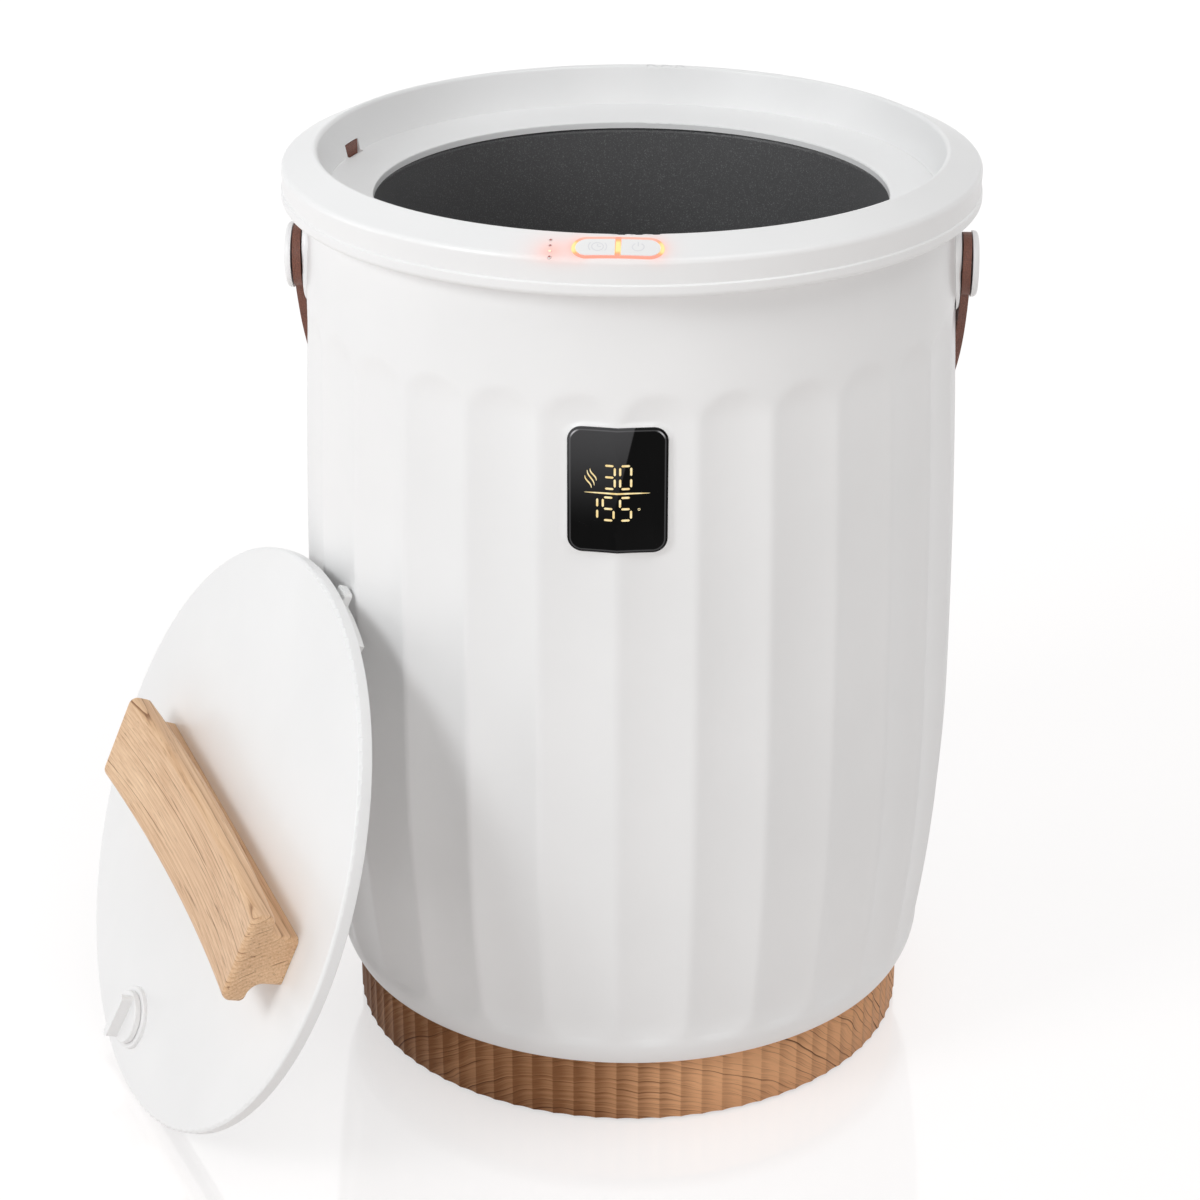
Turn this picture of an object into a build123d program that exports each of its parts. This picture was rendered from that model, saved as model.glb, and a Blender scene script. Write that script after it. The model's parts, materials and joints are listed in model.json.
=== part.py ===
"""Towel warmer bucket: a fluted, heated bucket with a lift-off lid that leans against its side.

Origin on the bucket's axis at floor level, +Z up, the display faces -Y. Millimetres.
"""

import math
import os

from build123d import *

os.makedirs("parts", exist_ok=True)

# ---------------------------------------------------------------- driving dimensions

# Barrelled, fluted outer shell
belly_radius, belly_height = 161.3, 180.0
shell_top_radius, shell_top = 152.8, 433.2
shell_turn_radius, shell_turn_height = 150.6, 52.0
shell_bottom_radius, shell_bottom = 146.0, 37.0
shell_wall = 5.2
flute_count, flute_depth, flute_radius = 28, 3.0, 83.0
flute_top, flute_bottom = 384.0, 48.0
flute_end_length = 15.0

# Rim ring with its sloping crown
rim_radius, rim_bottom = 165.7, 431.0
crown_inner_radius, crown_height, crown_outer_height = 148.4, 455.7, 448.0
recess_radius, recess_height = 144.0, 435.6
ledge_radius, ledge_height = 122.4, 431.6
rim_wall, rim_lip_radius, rim_lip_height = 2.6, 141.6, 434.4

# Windows in the recess wall for the lid's lugs
notch_angles, notch_width, notch_bottom, notch_top = (-107.0, 59.0), 15.0, 434.2, 441.4

# Pot
pot_radius, pot_wall, pot_floor, pot_rim = 123.6, 1.6, 52.0, 428.4
pot_flange_radius = 134.0

# Plinth
plinth_radius, plinth_bottom, plinth_top = 141.3, 1.5, 34.0
scallop_count, scallop_depth, scallop_radius = 84, 0.8, 20.3
foot_ring_radius, foot_radius = 112.0, 11.0

# Display
display_height, display_width, display_length, display_corner = 340.0, 44.6, 58.2, 6.6
window_drum_radius, window_dip = 337.0, 1.5

# Button pill on the crown
pill_length, pill_width, pill_line, pill_divider = 39.6, 13.4, 1.3, 2.0
button_gap, button_depth, button_proud = 0.3, 4.0, 0.35

# Carry strap
pivot_height, strap_width, strap_thickness = 397.0, 20.0, 4.0
strap_reach_x, strap_reach_y = 160.2, 174.0
strap_fall, strap_run, strap_bend, strap_lift = 60.0, 30.0, 265.0, 45.0

# Lid, leaning on its edge against the shell
lid_radius, lid_thickness, lid_plate = 143.0, 6.6, 2.4
lid_azimuth, lid_tilt, lid_reach = -61.6, 21.6, 223.0
plug_radius, plug_depth = 98.0, 8.0
handle_length, handle_width, stem_width = 208.0, 46.0, 26.0
handle_height, handle_sag, grip_depth = 27.5, 5.5, 12.0
handle_roll, handle_shift = -6.1, 11.0
knob_angle, knob_reach, knob_radius = -101.8, 115.5, 13.2
lug_angles, lug_span, lug_depth = (74.5, 240.5), 17.0, 6.0


# ---------------------------------------------------------------- shared geometry

upper_drop = belly_radius - shell_top_radius
upper_arc = ((shell_top - belly_height) ** 2 + upper_drop**2) / (2 * upper_drop)
lower_drop = belly_radius - shell_turn_radius
lower_arc = ((belly_height - shell_turn_height) ** 2 + lower_drop**2) / (2 * lower_drop)


def barrel(height):
    """Radius of the shell's arrises at a height: two arcs that meet at the belly."""
    arc = upper_arc if height > belly_height else lower_arc
    return belly_radius - arc + math.sqrt(arc**2 - (height - belly_height) ** 2)


def outline(corners, radii=0.0, plane=Plane.XZ):
    """Closed profile with rounded corners, given as (radius, height) pairs."""
    with BuildSketch(plane) as profile:
        with BuildLine():
            FilletPolyline(*corners, radius=radii, close=True)
        make_face()
    return profile.sketch


def barrel_band(low, high, outside, inside):
    """Section of a layer that follows the barrel, between two offsets from its surface."""
    middle = (low + high) / 2
    with BuildSketch(Plane.XZ) as band:
        with BuildLine():
            front = ThreePointArc(
                (barrel(low) + outside, low),
                (barrel(middle) + outside, middle),
                (barrel(high) + outside, high),
            )
            back = ThreePointArc(
                (barrel(low) + inside, low),
                (barrel(middle) + inside, middle),
                (barrel(high) + inside, high),
            )
            Line(front @ 0, back @ 0)
            Line(front @ 1, back @ 1)
        make_face()
    return band.sketch


crown_slope = math.atan2(crown_height - crown_outer_height, rim_radius - crown_inner_radius)
crown_middle = 157.9
crown_middle_height = crown_height - (crown_middle - crown_inner_radius) * math.tan(crown_slope)
crown_plane = Plane(
    origin=(0, -crown_middle, crown_middle_height),
    x_dir=(1, 0, 0),
    z_dir=(0, -math.sin(crown_slope), math.cos(crown_slope)),
)


def crown_band(outside, inside):
    """Section of a layer that follows the crown's slope, between two offsets from it."""
    half = 8.3
    corners = []
    for along, off in ((-half, outside), (half, outside), (half, inside), (-half, inside)):
        corners.append(
            (
                crown_middle + along * math.cos(crown_slope) + off * math.sin(crown_slope),
                crown_middle_height - along * math.sin(crown_slope) + off * math.cos(crown_slope),
            )
        )
    return outline(corners)


lid_out = Vector(math.sin(math.radians(lid_azimuth)), -math.cos(math.radians(lid_azimuth)), 0)
lid_normal = lid_out * math.cos(math.radians(lid_tilt)) + Vector(0, 0, math.sin(math.radians(lid_tilt)))
lid_across = Vector(0, 0, 1).cross(lid_normal).normalized()
lid_up = lid_normal.cross(lid_across)
lid_centre = lid_out * lid_reach + Vector(
    0,
    0,
    lid_radius * math.cos(math.radians(lid_tilt)) + lid_thickness * math.sin(math.radians(lid_tilt)),
)
lid_plane = Plane(origin=lid_centre, x_dir=lid_across, z_dir=lid_normal)
lid_section = Plane(origin=lid_centre, x_dir=lid_across, z_dir=-lid_up)
lid_axis = Axis(lid_centre, lid_normal)


def on_lid(angle, reach, height=0.0, turn=0.0):
    """Plane at a polar place on the lid's face, turned about the lid's normal."""
    along = lid_across * math.cos(math.radians(angle)) + lid_up * math.sin(math.radians(angle))
    facing = lid_across * math.cos(math.radians(turn)) + lid_up * math.sin(math.radians(turn))
    return Plane(origin=lid_centre + along * reach + lid_normal * height, x_dir=facing, z_dir=lid_normal)


# ---------------------------------------------------------------- plinth and floor

with BuildPart() as base_ring:
    with BuildSketch(Plane.XY.offset(plinth_bottom)):
        Circle(plinth_radius)
        with PolarLocations(plinth_radius + scallop_radius - scallop_depth, scallop_count):
            Circle(scallop_radius, mode=Mode.SUBTRACT)
        Circle(plinth_radius - 5.3, mode=Mode.SUBTRACT)
    extrude(amount=plinth_top - plinth_bottom)
    revolve(outline([(124.0, 31.0), (137.0, 31.0), (137.0, 34.0), (134.0, 34.0), (134.0, 37.0),
                     (127.6, 37.0), (127.6, 44.0), (124.0, 44.0)]), axis=Axis.Z)
    revolve(outline([(131.0, 5.5), (137.0, 5.5), (137.0, 11.5), (134.5, 9.0), (131.0, 9.0)]), axis=Axis.Z)
    with BuildSketch(Plane.XY.offset(5.5)):
        with PolarLocations(122.0, 4):
            Circle(6.0)
    extrude(amount=26.5)
    with BuildSketch(Plane.XY.offset(5.5)):
        with PolarLocations(122.0, 4):
            Circle(1.9)
    extrude(amount=16.0, mode=Mode.SUBTRACT)
    with BuildSketch(Plane.XZ.offset(-150.0)):
        with Locations((0, 18.0)):
            Circle(5.2)
    extrude(amount=20.0, mode=Mode.SUBTRACT)

with BuildPart() as base_plate:
    with BuildSketch(Plane.XY.offset(3.0)):
        Circle(135.6)
        with PolarLocations(122.0, 4):
            Circle(2.4, mode=Mode.SUBTRACT)
        with GridLocations(22.0, 6.0, 3, 5):
            SlotOverall(16.0, 3.0, mode=Mode.SUBTRACT)
    extrude(amount=2.5)
    with BuildSketch(Plane.XY.offset(5.5)):
        with GridLocations(84.0, 54.0, 2, 2):
            Circle(4.0)
    extrude(amount=6.5)

with BuildPart() as rubber_feet:
    with BuildSketch():
        with PolarLocations(foot_ring_radius, 4, start_angle=45.0):
            Circle(foot_radius)
    extrude(amount=3.0)
    chamfer(rubber_feet.faces().sort_by(Axis.Z)[0:4].edges(), length=0.8)

with BuildPart() as base_screws:
    with BuildSketch(Plane.XY.offset(1.6)):
        with PolarLocations(122.0, 4):
            Circle(3.6)
    extrude(amount=1.4)
    with BuildSketch(Plane.XY.offset(3.0)):
        with PolarLocations(122.0, 4):
            Circle(1.8)
    extrude(amount=14.0)

with BuildPart() as cord_gland:
    with BuildSketch(Plane.XZ.offset(-144.0)):
        with Locations((0, 18.0)):
            Circle(8.0)
    extrude(amount=2.6)
    chamfer(cord_gland.faces().sort_by(Axis.Y)[-1].edges(), length=1.0)
    with BuildSketch(Plane.XZ.offset(-141.4)):
        with Locations((0, 18.0)):
            Circle(5.0)
    extrude(amount=11.4)
    with BuildSketch(Plane.XZ.offset(-145.0)):
        with Locations((0, 18.0)):
            Circle(3.4)
    extrude(amount=16.0, mode=Mode.SUBTRACT)

# ---------------------------------------------------------------- outer shell

flute_axis_radius = belly_radius - flute_depth + flute_radius


def flute_floor(height, depth):
    """Distance from a flute cutter's axis to the flute's floor at a height."""
    return flute_axis_radius - barrel(height) + depth


end_depth = 2.55
upper_end, lower_end = flute_top - flute_end_length, flute_bottom + flute_end_length
with BuildPart() as flute_cutter:
    with BuildSketch(Plane.XZ):
        with BuildLine():
            top_point = (flute_floor(flute_top, 0.0), flute_top)
            bottom_point = (flute_floor(flute_bottom, 0.0), flute_bottom)
            upper_point = (flute_floor(upper_end, end_depth), upper_end)
            lower_point = (flute_floor(lower_end, end_depth), lower_end)
            belly_point = (flute_floor(belly_height, flute_depth), belly_height)
            upper_middle = (upper_end + belly_height) / 2
            lower_middle = (lower_end + belly_height) / 2
            upper_floor = ThreePointArc(
                belly_point, (flute_floor(upper_middle, 2.85), upper_middle), upper_point
            )
            lower_floor = ThreePointArc(
                belly_point, (flute_floor(lower_middle, 2.85), lower_middle), lower_point
            )
            TangentArc(upper_point, top_point, tangent=upper_floor % 1)
            TangentArc(lower_point, bottom_point, tangent=lower_floor % 1)
            Polyline(
                top_point, (top_point[0] - 30.0, flute_top + 6.0), (0, flute_top + 6.0),
                (0, flute_bottom - 6.0), (bottom_point[0] - 30.0, flute_bottom - 6.0), bottom_point,
            )
        make_face()
    revolve(axis=Axis.Z)

with BuildPart() as outer_shell:
    with BuildSketch(Plane.XZ):
        with BuildLine():
            upper_side = ThreePointArc(
                (barrel(shell_top), shell_top), (barrel(310.0), 310.0), (belly_radius, belly_height)
            )
            lower_side = ThreePointArc(
                upper_side @ 1, (barrel(116.0), 116.0), (shell_turn_radius, shell_turn_height)
            )
            TangentArc(lower_side @ 1, (shell_bottom_radius, shell_bottom), tangent=lower_side % 1)
            Polyline(
                (shell_bottom_radius, shell_bottom), (128.0, shell_bottom), (128.0, 40.0), (142.0, 40.0),
                (barrel(60.0) - shell_wall, 60.0),
            )
            ThreePointArc(
                (barrel(60.0) - shell_wall, 60.0),
                (barrel(116.0) - shell_wall, 116.0),
                (belly_radius - shell_wall, belly_height),
            )
            ThreePointArc(
                (belly_radius - shell_wall, belly_height),
                (barrel(310.0) - shell_wall, 310.0),
                (barrel(shell_top) - shell_wall, shell_top),
            )
            Line((barrel(shell_top) - shell_wall, shell_top), (barrel(shell_top), shell_top))
        make_face()
    revolve(axis=Axis.Z)
    with PolarLocations(flute_axis_radius, flute_count, start_angle=-90 + 180 / flute_count):
        add(flute_cutter.part, mode=Mode.SUBTRACT)

pad_low, pad_high = display_height - 40.0, display_height + 40.0
window_drum_reach = barrel(display_height) + window_drum_radius


def window_drum(proud):
    """Drum that presses one shallow hollow in a layer standing proud of the barrel."""
    with BuildPart() as drum:
        with BuildSketch(Plane.XZ):
            with BuildLine():
                hollow = ThreePointArc(
                    *[
                        (window_drum_reach - barrel(height) - proud + window_dip, height)
                        for height in (pad_low, display_height, pad_high)
                    ]
                )
                Polyline(hollow @ 1, (0, pad_high), (0, pad_low), hollow @ 0)
            make_face()
        revolve(axis=Axis.Z)
    return drum.part


window_sides = [-90.0 - 180.0 / flute_count, -90.0 + 180.0 / flute_count]
pad_proud, lens_proud = 0.35, 1.1
pad_drum, lens_drum = window_drum(pad_proud), window_drum(lens_proud)
with BuildPart() as display_pad:
    with BuildSketch(Plane.XZ.offset(130.0)):
        with Locations((0, display_height)):
            RectangleRounded(display_width + 3.6, display_length + 3.6, display_corner + 1.6)
    extrude(amount=40.0)
    revolve(barrel_band(pad_low, pad_high, pad_proud, -shell_wall), axis=Axis.Z, mode=Mode.INTERSECT)
    for side in window_sides:
        with PolarLocations(window_drum_reach, 1, start_angle=side):
            add(pad_drum, mode=Mode.SUBTRACT)

with BuildPart() as display_pocket:
    with BuildSketch(Plane.XZ.offset(130.0)):
        with Locations((0, display_height)):
            RectangleRounded(display_width + 0.4, display_length + 0.4, display_corner + 0.2)
    extrude(amount=40.0)
    revolve(barrel_band(pad_low, pad_high, 6.0, -3.0), axis=Axis.Z, mode=Mode.INTERSECT)

with outer_shell:
    add(display_pad.part)
    add(display_pocket.part, mode=Mode.SUBTRACT)
    with BuildSketch(Plane.XZ.offset(130.0)):
        with Locations((0, display_height)):
            RectangleRounded(36.0, 50.0, 3.0)
    extrude(amount=40.0, mode=Mode.SUBTRACT)
    with BuildSketch(Plane.YZ.offset(-170.0)):
        with Locations((0, pivot_height)):
            Circle(4.1)
    extrude(amount=340.0, mode=Mode.SUBTRACT)

# ---------------------------------------------------------------- display

with BuildPart() as display_lens:
    with BuildSketch(Plane.XZ.offset(130.0)):
        with Locations((0, display_height)):
            RectangleRounded(display_width, display_length, display_corner)
    extrude(amount=40.0)
    revolve(barrel_band(pad_low, pad_high, lens_proud, -1.4), axis=Axis.Z, mode=Mode.INTERSECT)
    for side in window_sides:
        with PolarLocations(window_drum_reach, 1, start_angle=side):
            add(lens_drum, mode=Mode.SUBTRACT)
    front_faces = display_lens.faces().filter_by(lambda face: face.normal_at().Y < -0.9).sort_by(Axis.Y)[:2]
    ridge = front_faces[0].edges().sort_by(lambda edge: abs((edge @ 0.5).X))[0]
    rim_edges = [edge for edge in front_faces.edges() if abs((edge @ 0.5).X) > 0.2 or edge.length < 40.0]
    chamfer(rim_edges, length=0.6)

with BuildPart() as display_tray:
    with BuildSketch(Plane.XZ.offset(130.0)):
        with Locations((0, display_height)):
            RectangleRounded(display_width, display_length, display_corner)
            RectangleRounded(36.0, 50.0, 3.0, mode=Mode.SUBTRACT)
    extrude(amount=40.0)
    revolve(barrel_band(pad_low, pad_high, -1.4, -3.0), axis=Axis.Z, mode=Mode.INTERSECT)

with BuildPart() as display_module:
    with BuildSketch(Plane.XZ.offset(148.4)):
        with Locations((0, display_height)):
            with GridLocations(37.6, 49.0, 2, 2):
                Rectangle(2.4, 5.0)
    extrude(amount=10.0)
    revolve(barrel_band(pad_low, pad_high, -shell_wall, -9.0), axis=Axis.Z, mode=Mode.INTERSECT)
    with BuildSketch(Plane.XZ.offset(148.4)):
        with Locations((0, display_height)):
            Rectangle(40.0, 55.0)
    extrude(amount=1.6)
    with BuildSketch(Plane.XZ.offset(150.0)):
        with Locations((0, display_height)):
            Rectangle(32.0, 46.0)
    extrude(amount=4.2)
    with BuildSketch(Plane.XZ.offset(146.0)):
        with Locations((0, display_height + 20.0)):
            Rectangle(14.0, 6.0)
    extrude(amount=2.4)

# ---------------------------------------------------------------- rim

with BuildPart() as top_rim:
    revolve(
        outline(
            [
                (153.0, rim_bottom), (rim_radius, rim_bottom), (rim_radius, 436.5), (rim_radius - 0.8, 437.1),
                (rim_radius - 0.2, crown_outer_height), (crown_inner_radius, crown_height),
                (recess_radius, recess_height), (recess_radius, rim_lip_height),
                (rim_lip_radius, rim_lip_height), (rim_lip_radius, shell_top), (150.0, shell_top),
                (151.4, 451.2), (rim_radius - rim_wall, 446.0), (rim_radius - rim_wall, 433.4), (153.0, 433.4),
            ],
            [0, 2.6, 0.4, 0.3, 3.0, 2.0, 0, 0, 0, 0, 0, 0.8, 1.5, 0, 0],
        ),
        axis=Axis.Z,
    )
    # well for the button pill
    with BuildSketch(crown_plane.offset(-7.0)):
        SlotOverall(pill_length + 0.2, pill_width + 0.2)
    extrude(amount=12.0, mode=Mode.SUBTRACT)
    # holes for the four indicator light pipes
    with BuildSketch(crown_plane.offset(-7.0)):
        with Locations(*[(-29.0, 5.6 - 3.6 * row) for row in range(4)]):
            Circle(0.85)
    extrude(amount=12.0, mode=Mode.SUBTRACT)
    # windows at the foot of the recess wall, where the lid's lugs catch
    for notch in notch_angles:
        with BuildSketch(Plane.XY.offset(notch_bottom)):
            with PolarLocations(146.0, 1, start_angle=notch - 90.0):
                Rectangle(8.0, notch_width)
        extrude(amount=notch_top - notch_bottom, mode=Mode.SUBTRACT)
        with BuildSketch(Plane.XY.offset(430.0)):
            with PolarLocations(146.2, 1, start_angle=notch - 90.0):
                Rectangle(3.2, notch_width)
        extrude(amount=10.0, mode=Mode.SUBTRACT)

# Ring that closes the gap between rim and pot; the lid's gasket lies on its face
with BuildPart() as seat_ring:
    revolve(
        outline(
            [
                (recess_radius - 0.02, rim_lip_height), (recess_radius - 0.02, recess_height),
                (ledge_radius + 2.2, ledge_height + 0.6), (ledge_radius, ledge_height),
                (ledge_radius, pot_rim), (125.0, pot_rim), (125.6, pot_rim + 1.2),
                (rim_lip_radius - 0.05, rim_lip_height - 1.8), (rim_lip_radius - 0.05, rim_lip_height),
            ],
            [0, 0, 1.0, 0.8, 0, 0, 0, 0, 0],
        ),
        axis=Axis.Z,
    )
    for notch in notch_angles:
        with BuildSketch(Plane.XY.offset(notch_bottom)):
            with PolarLocations(146.0, 1, start_angle=notch - 90.0):
                Rectangle(8.0, notch_width)
        extrude(amount=notch_top - notch_bottom, mode=Mode.SUBTRACT)

with BuildPart() as light_ring:
    with BuildSketch(crown_plane.offset(-button_depth)):
        SlotOverall(pill_length, pill_width)
        SlotOverall(pill_length - 2 * pill_line, pill_width - 2 * pill_line, mode=Mode.SUBTRACT)
        Rectangle(pill_divider, pill_width - pill_line)
    extrude(amount=8.0)
    revolve(crown_band(0.15, -button_depth), axis=Axis.Z, mode=Mode.INTERSECT)


def half_pill(side):
    """One of the two buttons: half a slot, clear of the lit ring and its divider."""
    with BuildPart() as button:
        with BuildSketch(crown_plane.offset(-button_depth - 1.0)):
            SlotOverall(
                pill_length - 2 * (pill_line + button_gap), pill_width - 2 * (pill_line + button_gap)
            )
            with Locations((-side * pill_length / 2, 0)):
                Rectangle(
                    pill_length + pill_divider + 2 * button_gap, pill_width, mode=Mode.SUBTRACT
                )
        extrude(amount=9.0)
        revolve(crown_band(button_proud, -button_depth), axis=Axis.Z, mode=Mode.INTERSECT)
    return button


power_button = half_pill(1)
timer_button = half_pill(-1)

with BuildPart() as indicator_lights:
    with BuildSketch(crown_plane.offset(-5.5)):
        with Locations(*[(-29.0, 5.6 - 3.6 * row) for row in range(4)]):
            Circle(0.75)
    extrude(amount=9.0)
    revolve(crown_band(0.1, -5.5), axis=Axis.Z, mode=Mode.INTERSECT)

with BuildPart() as button_board:
    with BuildSketch(Plane.XY.offset(439.4)):
        with Locations((-4.0, -155.6)):
            Rectangle(60.0, 6.8)
    extrude(amount=1.6)

with BuildPart() as button_switches:
    with BuildSketch(Plane.XY.offset(441.0)):
        with Locations((-10.0, -156.0), (10.0, -156.0)):
            RectangleRounded(6.0, 5.6, 0.6)
    extrude(amount=2.2)
    with BuildSketch(Plane.XY.offset(443.2)):
        with Locations((-10.0, -156.0), (10.0, -156.0)):
            Circle(1.5)
    extrude(amount=1.8)

# ---------------------------------------------------------------- pot and heating

with BuildPart() as inner_pot:
    outer = pot_radius + pot_wall
    revolve(
        outline(
            [
                (0, pot_floor - pot_wall), (outer, pot_floor - pot_wall), (outer, pot_rim - pot_wall),
                (pot_flange_radius, pot_rim - pot_wall), (pot_flange_radius, pot_rim), (pot_radius, pot_rim),
                (pot_radius, pot_floor), (0, pot_floor),
            ],
            [0, 11.6, 1.0, 0, 0, 2.6, 10.0, 0],
        ),
        axis=Axis.Z,
    )

with BuildPart() as heating_film:
    revolve(outline([(125.3, 90.0), (126.3, 90.0), (126.3, 340.0), (125.3, 340.0)]), axis=Axis.Z)

with BuildPart() as insulation_jacket:
    revolve(outline([(127.0, 66.0), (138.0, 66.0), (138.0, 412.0), (127.0, 412.0)]), axis=Axis.Z)

with BuildPart() as pot_cradle:
    revolve(
        outline([(44.0, 44.0), (127.4, 44.0), (127.4, 46.4), (104.0, 46.4), (104.0, 50.4), (100.0, 50.4),
                 (100.0, 46.4), (44.0, 46.4)]),
        axis=Axis.Z,
    )
    with BuildSketch(Plane.XY.offset(43.0)):
        with PolarLocations(72.0, 8):
            Circle(11.0)
    extrude(amount=5.0, mode=Mode.SUBTRACT)

with BuildPart() as thermostat:
    with BuildSketch(Plane.XY.offset(42.0)):
        with Locations((22.0, 0)):
            Circle(8.0)
    extrude(amount=8.4)
    with BuildSketch(Plane.XY.offset(48.8)):
        with Locations((22.0, 0)):
            SlotOverall(32.0, 8.0)
    extrude(amount=1.6)

with BuildPart() as thermal_fuse:
    with BuildSketch(Plane.YZ.offset(-30.0)):
        with Locations((0, 47.4)):
            Circle(3.0)
    extrude(amount=22.0)

with BuildPart() as power_board:
    with BuildSketch(Plane.XY.offset(12.0)):
        RectangleRounded(104.0, 74.0, 3.0)
    extrude(amount=1.6)

with BuildPart() as board_components:
    with BuildSketch(Plane.XY.offset(13.6)):
        with Locations((-34.0, 16.0)):
            Rectangle(24.0, 20.0)
        with Locations((20.0, 20.0)):
            Rectangle(18.0, 14.0)
    extrude(amount=15.0)
    with BuildSketch(Plane.XY.offset(13.6)):
        with Locations((-4.0, -18.0), (14.0, -18.0)):
            Circle(6.3)
    extrude(amount=14.0)
    with BuildSketch(Plane.XY.offset(13.6)):
        with Locations((38.0, -16.0)):
            Rectangle(12.0, 22.0)
    extrude(amount=9.0)

# ---------------------------------------------------------------- strap mounts


def strap_mount(side):
    """Boss, leather backing pad, pivot pin and outer cap of one end of the strap."""
    outward = Plane(origin=(0, 0, pivot_height), x_dir=(0, side, 0), z_dir=(side, 0, 0))
    with BuildPart() as boss:
        with BuildSketch(outward.offset(140.0)):
            with Locations((0, -2.0)):
                SlotOverall(42.0, 30.0, rotation=90)
        extrude(amount=17.2)
        fillet(boss.faces().sort_by(Axis.X)[0 if side < 0 else -1].edges(), radius=2.6)
        revolve(barrel_band(350.0, shell_top, 0.05, -40.0), axis=Axis.Z, mode=Mode.SUBTRACT)
        with BuildSketch(outward.offset(130.0)):
            Circle(4.1)
        extrude(amount=40.0, mode=Mode.SUBTRACT)
    notch = notch_angles[0] if side < 0 else notch_angles[1]
    band_start = notch - 95.0
    band_end = -172.0 if side < 0 else 8.0
    with BuildPart() as backing:
        with BuildSketch(Plane.XY.offset(pivot_height - 14.0)):
            with BuildLine():
                outer_side = CenterArc((0, 0), 147.0, band_start, band_end - band_start)
                inner_side = CenterArc((0, 0), 144.8, band_start, band_end - band_start)
                Line(outer_side @ 0, inner_side @ 0)
                Line(outer_side @ 1, inner_side @ 1)
            make_face()
        extrude(amount=28.0)
        with BuildSketch(Plane.XY.offset(pivot_height)):
            with PolarLocations(146.2, 1, start_angle=notch - 90.0):
                Rectangle(2.2, notch_width - 1.0)
        extrude(amount=notch_top - pivot_height - 0.4)
        with BuildSketch(outward.offset(130.0)):
            Circle(4.1)
        extrude(amount=40.0, mode=Mode.SUBTRACT)
    with BuildPart() as pin:
        with BuildSketch(outward.offset(141.0)):
            RegularPolygon(6.5, 6)
        extrude(amount=2.9)
        with BuildSketch(outward.offset(141.0)):
            Circle(4.0)
        extrude(amount=22.8)
        with BuildSketch(outward.offset(157.2)):
            Circle(6.5)
        extrude(amount=0.5)
    with BuildPart() as cap:
        with BuildSketch(outward.offset(162.5)):
            Circle(15.8)
        extrude(amount=3.0)
        fillet(cap.faces().sort_by(Axis.X)[-1 if side > 0 else 0].edges(), radius=2.2)
        with BuildSketch(outward.offset(162.5)):
            Circle(4.02)
        extrude(amount=1.4, mode=Mode.SUBTRACT)
    return boss, backing, pin, cap


left_boss, left_backing, left_pin, left_cap = strap_mount(-1)
right_boss, right_backing, right_pin, right_cap = strap_mount(1)

with BuildPart() as carry_strap:
    # side view of the strap: down from the pivot, then round to the back in one bend
    fall = math.radians(-strap_fall)
    run_end = (strap_run * math.cos(fall), pivot_height + strap_run * math.sin(fall))
    half = strap_width / 2
    left_start = (-half * math.sin(fall), pivot_height + half * math.cos(fall))
    right_start = (half * math.sin(fall), pivot_height - half * math.cos(fall))
    with BuildSketch(Plane.YZ.offset(-180.0)):
        with BuildLine():
            upper_run = PolarLine(left_start, strap_run, -strap_fall)
            lower_run = PolarLine(right_start, strap_run, -strap_fall)
            upper_bend = JernArc(upper_run @ 1, upper_run % 1, strap_bend - half, strap_lift + 3)
            lower_bend = JernArc(lower_run @ 1, lower_run % 1, strap_bend + half, strap_lift + 3)
            Line(left_start, right_start)
            Line(upper_bend @ 1, lower_bend @ 1)
        make_face()
        with Locations((0, pivot_height)):
            Circle(15.0)
            Circle(4.08, mode=Mode.SUBTRACT)
    extrude(amount=360.0)
    with BuildSketch(Plane.XY.offset(200.0)):
        Ellipse(strap_reach_x + strap_thickness / 2, strap_reach_y + strap_thickness / 2)
        Ellipse(
            strap_reach_x - strap_thickness / 2, strap_reach_y - strap_thickness / 2, mode=Mode.SUBTRACT
        )
    extrude(amount=250.0, mode=Mode.INTERSECT)

# ---------------------------------------------------------------- lid

knob_plane = on_lid(knob_angle, knob_reach, 0.0, knob_angle)
handle_plane = on_lid(handle_roll, handle_shift, 0.0, handle_roll)
handle_screw_places = [(-72.0, 0), (72.0, 0)]

with BuildPart() as lid_shell:
    revolve(
        outline(
            [
                (0, 0), (lid_radius, 0), (lid_radius, -lid_thickness), (lid_radius - 2.6, -lid_thickness),
                (lid_radius - 2.6, -lid_plate), (0, -lid_plate),
            ],
            [0, 1.8, 0.6, 0, 0, 0],
            lid_section,
        ),
        axis=lid_axis,
    )
    with BuildSketch(knob_plane.offset(-4.0)):
        Circle(12.4)
    extrude(amount=6.0, mode=Mode.SUBTRACT)
    with BuildSketch(handle_plane.offset(-4.0)):
        with Locations(*handle_screw_places):
            Circle(2.2)
    extrude(amount=6.0, mode=Mode.SUBTRACT)

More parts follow.
